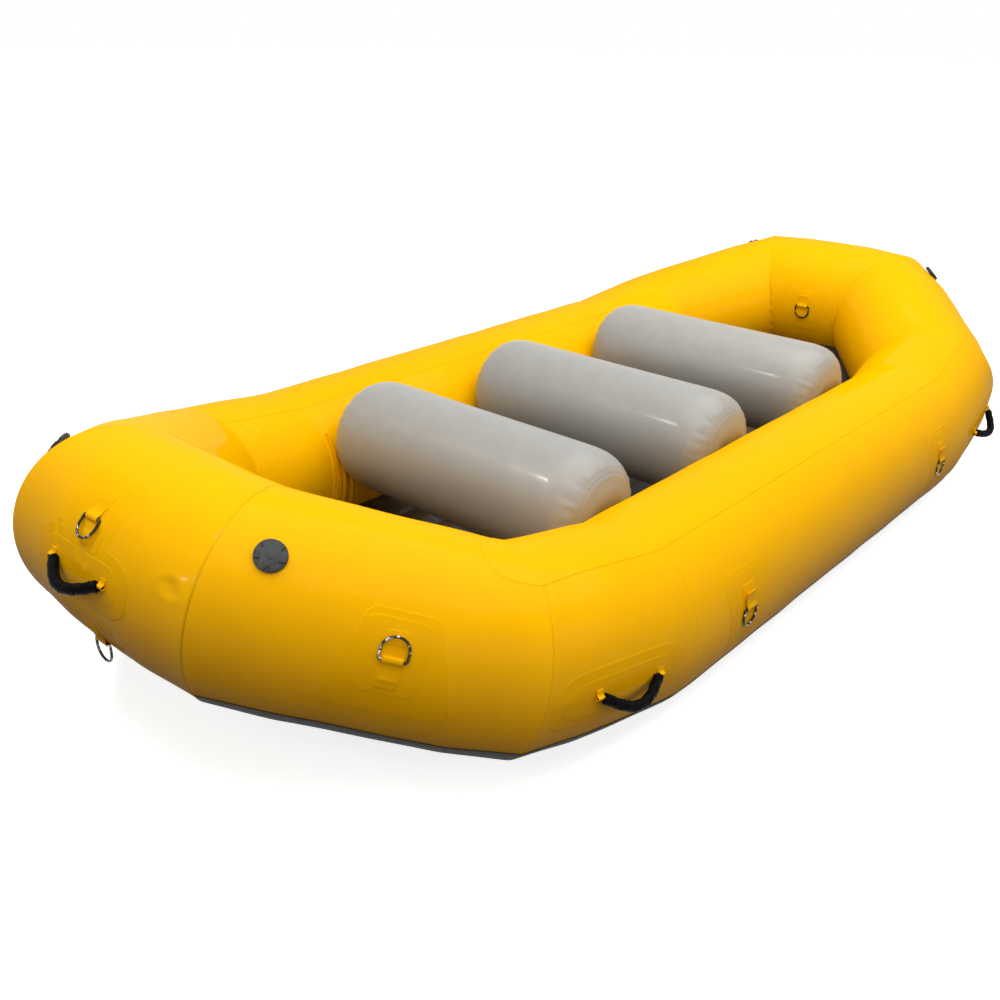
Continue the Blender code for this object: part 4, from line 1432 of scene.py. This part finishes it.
@dataclass
class GrabHandle(SkinFitting):
    """A rubber grip on webbing whose ends are held by two tabs on a patch."""

    span: float = 0.200
    sag: float = 0.047
    grip_radius: float = 0.0142
    bow_out: float = 0.0040
    end_radius: float = 0.008
    end_length: float = 0.014
    bar: float = 0.0042
    standoff: float = 0.0083
    rest_angle: float = math.radians(50)
    webbing: float = 0.021
    tail: float = 0.018
    around: int = 28
    rows: int = 170
    grip_start: float = 0.0165
    grip_inset: float = 0.0014
    rib_pitch: float = 0.0062
    rib_height: float = 0.0005
    lump_height: float = 0.0006
    patches: tuple[tuple[float, ...], ...] = (
        (0.335, 0.150, 0.050, 0.0), (0.290, 0.098, 0.034, 0.0007))

    def build(self) -> None:
        """Builds the grip, its tabs and its patches."""
        at = self.facet()
        self.build_grip(swing_frame(at, self.standoff, hanging_angle(at, self.rest_angle)))
        pieces = [self.sheet().build("patch", mirrored_corners(width, height), rounding, top)
                  for width, height, rounding, top in self.patches]
        for way in (-1, 1):
            loop = WebbingLoop(self.webbing, self.bar, self.standoff, downward_side(at),
                               tail=self.tail, centre=way * (self.span + self.end_length) / 2)
            pieces.append(loop.build(at))
        fit(joined(pieces, f"grab_handle_{self.place}_patch"), self.wardrobe.patch)

    def build_grip(self, at: Matrix) -> None:
        """Bends the ribbed grip along its sag.

        Args:
            at: The handle's frame, x on its hinge and y as it hangs.
        """
        body = f"grab_handle_{self.place}"
        piece = roll_tube(f"{body}_grip", self.around, self.rows)
        half, shares = self.span / 2, np.linspace(0, 1, 61)
        sag = np.stack([half * (2 * shares - 1), self.sag * np.sin(math.pi * shares)], axis=1)
        end = half + self.end_length
        path = np.concatenate(([(-end, 0.0)], sag, [(end, 0.0)]))
        lengths, tangents = lengths_along(path), unit(np.gradient(path, axis=0))
        reshape(piece, lambda flat: placed(at, self._grip(flat, path, lengths, tangents)))
        face_outwards(piece)
        smooth(piece, 60)
        fit(piece, self.wardrobe.rubber, body, [body])

    def _grip(self, flat: Array, path: Array, lengths: Array, tangents: Array) -> Array:
        """Swells the plain tube from its strap ends to the ragged, ribbed grip.

        Args:
            flat: The plain tube's points.
            path: The points of the grip's middle line.
            lengths: How far along the line each of them lies.
            tangents: The line's direction at each of them.

        Returns:
            The grip's points in its own frame.
        """
        run = (flat[:, 2] + 1) / 2 * lengths[-1]
        spot = on_path(path, lengths, run)
        tangent = unit(on_path(tangents, lengths, run))
        across = np.stack([-tangent[:, 1], tangent[:, 0]], axis=1)
        from_end = np.minimum(run, lengths[-1] - run)
        turn = np.arctan2(flat[:, 1], flat[:, 0])
        ragged = 0.003 * np.sin(turn * 2 + 40 * spot[:, 0]) + 0.002 * np.sin(turn * 5)
        full = np.clip((from_end - self.grip_start - ragged) / 0.0020, 0, 1)
        strap = np.clip((from_end - self.end_length) / 0.004, 0, 1)
        rib = (self.rib_height * np.cos(run * math.tau / self.rib_pitch)
               + self.rib_height * np.sin(run * 610 + 2 * turn)
               + self.lump_height * np.sin(run * 173 + 3 * turn + 1)) * full
        core = self.bar + (self.end_radius - self.bar) * strap
        radius = core + (self.grip_radius - self.grip_inset - core) * full + rib
        bare = strap * (1 - full)
        spot = spot + across * (flat[:, 0] * radius * (1 + 0.25 * bare))[:, None]
        depth = flat[:, 1] * radius * (1 - 0.45 * bare)
        bow = self.bow_out * np.sqrt(np.clip(spot[:, 1] / self.sag, 0, 1)) * full
        return np.column_stack([spot, depth - bow])


@dataclass
class AirValve(RaftPart):
    """A valve's seat ring and its star-faced cap."""

    place: str
    panel: int
    radius: float = 0.036
    flange: float = 0.004
    cap: float = 0.0075
    gap: float = 0.0003
    lobes: int = 6
    lobe_depth_share: float = 0.32
    edge: float = 0.0011
    layer_shares: tuple[tuple[str, float, float, float], ...] = (
        ("cap", 1.0, 0.0, 0.25), ("star", 0.97, 0.1, 1.0), ("hub", 0.30, 0.8, 1.06))

    def at(self) -> Matrix:
        """The valve's place in the model.

        Returns:
            Its frame, z along the axis that its cap turns on.
        """
        joint = next(j for j in frame["joints"] if j["child"] == f"valve_cap_{self.place}")
        outward = Vector(joint["axis"]).normalized()
        along = Vector(self.axis.along[self.panel])
        along = (along - outward * along.dot(outward)).normalized()
        return frame_of(along, outward.cross(along), outward, Vector(joint["pos_m"]))

    def disc(self, name: str, radius: float, low: float, high: float, at: Matrix,
             lobed: bool = False) -> Piece:
        """Turns a disc with a rounded rim.

        Args:
            name: The disc's name.
            radius: Its radius.
            low: The height of its underside.
            high: The height of its top.
            at: The valve's frame.
            lobed: Whether its rim is waved into lobes.

        Returns:
            The disc.
        """
        piece = add_primitive(bpy.ops.mesh.primitive_cylinder_add, name, vertices=96,
                              radius=radius, depth=high - low, location=(0, 0, (low + high) / 2))
        bpy.ops.object.transform_apply(location=True)
        if lobed:
            reshape(piece, self._wave)
        round_edges(piece, self.edge, 3, 50)
        reshape(piece, lambda flat: placed(at, flat))
        return piece

    def _wave(self, flat: Array) -> Array:
        """Draws a disc's rim in between its lobes."""
        turn = np.arctan2(flat[:, 1], flat[:, 0])
        crest = np.clip(2.1 + 2.6 * np.cos(turn * self.lobes), 0, 1)
        share = 1 - self.lobe_depth_share * (1 - crest)
        return np.column_stack([flat[:, :2] * share[:, None], flat[:, 2]])

    def build(self) -> None:
        """Builds the seat ring and the cap."""
        at, body, low = self.at(), f"valve_cap_{self.place}", self.flange + self.gap
        seat = self.disc(f"valve_seat_{self.place}", self.radius, 0.0, self.flange, at)
        smooth(seat)
        fit(seat, self.wardrobe.valve, replaced=[f"valve_body_{self.place}"])
        discs = [self.disc(name, self.radius * across, low + self.cap * foot,
                           low + self.cap * top, at, name == "star")
                 for name, across, foot, top in self.layer_shares]
        whole = joined(discs, f"{body}_star")
        smooth(whole)
        fit(whole, self.wardrobe.valve, body, [body])


# Studio

def hang(name: str, thing: bpy.types.Camera | bpy.types.Light) -> Piece:
    """Puts a camera or a lamp into the scene."""
    holder = bpy.data.objects.new(name, thing)
    bpy.context.scene.collection.objects.link(holder)
    return holder


@dataclass(frozen=True)
class Softbox:
    """One soft light, turned to its target, where no view shows it."""

    name: str
    place: Point
    target: Point
    size: Spot
    power: float
    tint: Color = (1.0, 1.0, 1.0)
    mirrored: bool = True

    def build(self) -> None:
        """Hangs the light."""
        lamp = bpy.data.lights.new(self.name, "AREA")
        lamp.shape, lamp.energy, lamp.color = "RECTANGLE", self.power, self.tint
        lamp.size, lamp.size_y = self.size
        holder = hang(self.name, lamp)
        holder.visible_camera = False
        holder.visible_glossy = self.mirrored
        holder.location = self.place
        back = Vector(self.place) - Vector(self.target)
        holder.rotation_euler = back.to_track_quat("Z", "Y").to_euler()


WARM = (1.0, 0.93, 0.84)
LIGHTS = (
    Softbox("overhead", (0.0, 0.8, 4.2), (0.0, 0.0, 0.0), (7.0, 5.0), 236.0),
    Softbox("side", (0.8, 4.8, 1.7), (0.8, 0.7, 0.3), (6.0, 2.0), 44.0, WARM),
    Softbox("high_window", (2.28, -1.26, 2.75), (1.825, 0.317, 0.716), (0.34, 0.20), 14.0),
    Softbox("low_window", (3.73, -1.17, 1.79), (1.915, 0.364, 0.643), (0.20, 0.09), 2.6),
    Softbox("key", (3.9, 1.4, 2.4), (0.9, 0.0, 0.3), (1.1, 0.9), 13.0, WARM),
    Softbox("stern_fill", (-0.75, 0.10, 1.9), (-1.8, -0.25, 0.42), (0.9, 0.9), 6.0, WARM, False),
)


@dataclass
class Studio:
    """The camera of the picture, the floor and the soft lights."""

    eye: Point = (2.8616, 2.0024, 1.6743)
    yaw: float = 3.8614
    pitch: float = -0.4416
    roll: float = 0.0146
    focal_share: float = 1.024041
    sensor: float = 36.0

    def build_camera(self) -> None:
        """Sets the camera up where the picture was taken from."""
        level, steep = math.cos(self.pitch), math.sin(self.pitch)
        look = Vector((level * math.cos(self.yaw), level * math.sin(self.yaw), steep))
        right = look.cross(Vector((0, 0, 1))).normalized()
        up = right.cross(look)
        level_right = math.cos(self.roll) * right + math.sin(self.roll) * up
        level_up = -math.sin(self.roll) * right + math.cos(self.roll) * up
        camera = bpy.data.cameras.new("camera")
        camera.sensor_width = self.sensor
        camera.lens = self.focal_share * self.sensor
        holder = hang("camera", camera)
        holder.matrix_world = frame_of(level_right, level_up, -look, Vector(self.eye))
        bpy.context.scene.camera = holder

    def build_floor(self) -> None:
        """Lays the pale floor, white but for the raft's shadow, which bounces little light."""
        piece = add_primitive(bpy.ops.mesh.primitive_circle_add, "studio_floor", vertices=96,
                              radius=60, fill_type="NGON")
        material, desk, shader = new_material("pale_floor")
        seen = self.seen_directly(desk)
        away = desk.add("VectorMath", {"operation": "LENGTH"}, Vector=desk.place())
        glow = desk.ramp(away.outputs["Value"], 2.2, 4.0, 0.76, 1.0)
        desk.wire(shader, Base_Color=desk.mix(seen, (0.035, 0.025, 0.012), (0.90, 0.90, 0.90)),
                  Emission_Strength=desk.math("MULTIPLY", seen, glow),
                  Emission_Color=(1, 1, 1, 1), Roughness=1.0, Specular_IOR_Level=0.0)
        piece.data.materials.append(material)

    def seen_directly(self, desk: NodeDesk) -> Socket:
        """Whether a ray comes from the camera, a mirroring surface or through glass."""
        path = desk.add("LightPath").outputs
        seen = desk.math("MAXIMUM", path["Is Camera Ray"], path["Is Glossy Ray"])
        return desk.math("MAXIMUM", seen, path["Is Transmission Ray"])

    def build_lights(self) -> None:
        """Hangs the soft lights and levels the world."""
        world = bpy.data.worlds.new("studio")
        world.use_nodes = True
        bpy.context.scene.world = world
        desk = NodeDesk(world.node_tree)
        shade = desk.mix(self.seen_directly(desk), (0.20, 0.188, 0.168), (1.0, 1.0, 1.0))
        desk.wire(world.node_tree.nodes["Background"], Color=shade)
        for light in LIGHTS:
            light.build()

    def build(self) -> None:
        """Sets the whole studio up."""
        self.build_camera()
        self.build_floor()
        self.build_lights()
        bpy.context.scene.view_settings.view_transform = "Standard"


def ring_places(axis: TubeAxis) -> list[tuple[str, int, float, float, bool]]:
    """Each D-ring's place, panel, distance along it, angle round it, and whether it lies up."""
    middle, near, far = axis.lengths[0] / 2, 0.24, axis.lengths[3] - 0.24
    upper, lower, inner, quarter, side = (math.radians(a) for a in (42, -32, 178, 16, 5))
    return [("bow_upper", 0, middle, upper, False), ("bow_lower", 0, middle, lower, False),
            ("stern_upper", 6, middle, upper, False), ("stern_inner", 6, middle, inner, False),
            ("bow_port", 1, axis.from_raft_end(1, 0.32), quarter, True),
            ("bow_starboard", 11, axis.from_raft_end(11, 0.32), quarter, True),
            ("fore_port", 3, near, side, False), ("aft_port", 3, far, side, False),
            ("fore_starboard", 9, far, side, False), ("aft_starboard", 9, near, side, False)]


def handle_places(axis: TubeAxis) -> list[tuple[str, int, float, float]]:
    """Each handle's place, panel, distance along it and angle round the tube."""
    middle, ends, shoulders = axis.lengths[0] / 2, math.radians(14), math.radians(-3)
    places = [("bow", 0, middle, ends), ("stern", 6, middle, ends)]
    for name, panel in (("bow_port", 2), ("stern_port", 4), ("stern_starboard", 8),
                        ("bow_starboard", 10)):
        places.append((name, panel, axis.from_raft_end(panel, 0.18), shoulders))
    return places


PHOTO_FOLDS = (
    Fold((0.494, 28.0), (0.500, 25.5), 0.011, 0.0032),
    Fold((0.236, 37.0), (0.262, 22.0), 0.009, 0.0030),
    Fold((0.306, 36.0), (0.292, 20.0), 0.009, 0.0028),
    Fold((0.150, 30.0), (0.176, 19.0), 0.008, 0.0020),
    Fold((1.168, 42.0), (1.172, 6.0), 0.014, 0.0016),
    Fold((1.150, 66.0), (1.152, 58.0), 0.007, 0.0014),
    Fold((7.748, 143.0), (7.774, 198.0), 0.006, 0.0060, 0.8),
    Fold((7.726, 158.0), (7.730, 202.0), 0.005, 0.0048, 0.8),
    Fold((7.700, 160.0), (7.694, 200.0), 0.007, 0.0034, 0.6),
    Fold((7.676, 172.0), (7.668, 204.0), 0.006, 0.0024, 0.6),
    Fold((4.740, 129.0), (4.800, 138.0), 0.012, 0.0034),
    Fold((4.345, 152.0), (4.300, 168.0), 0.016, 0.0034),
    Fold((8.060, 126.0), (8.086, 118.0), 0.014, 0.0030, 0.7),
)
THWART_PLACES = {"fore": 0.7135, "middle": 0.0401, "aft": -0.6873}


def main() -> None:
    """Builds the raft's pieces and the studio in order."""
    logging.basicConfig(level=logging.INFO, format="%(message)s")
    Studio().build()
    wardrobe = Wardrobe()
    axis = TubeAxis(PHOTO_FOLDS)
    MainTube(axis, wardrobe).build()
    for place, x in THWART_PLACES.items():
        Thwart(axis, wardrobe, place, x).build()
    InflatedFloor(axis, wardrobe).build()
    for ring in ring_places(axis):
        DRing(axis, wardrobe, *ring).build()
    for handle in handle_places(axis):
        GrabHandle(axis, wardrobe, *handle).build()
    for number, name in enumerate(axis.names):
        if "quarter" in name:
            AirValve(axis, wardrobe, name.replace("_quarter_panel", ""), number).build()
    for name, node in frame["nodes"].items():
        if name.endswith("_valve"):
            paint(node, wardrobe.valve)


if __name__ == "__main__":
    main()
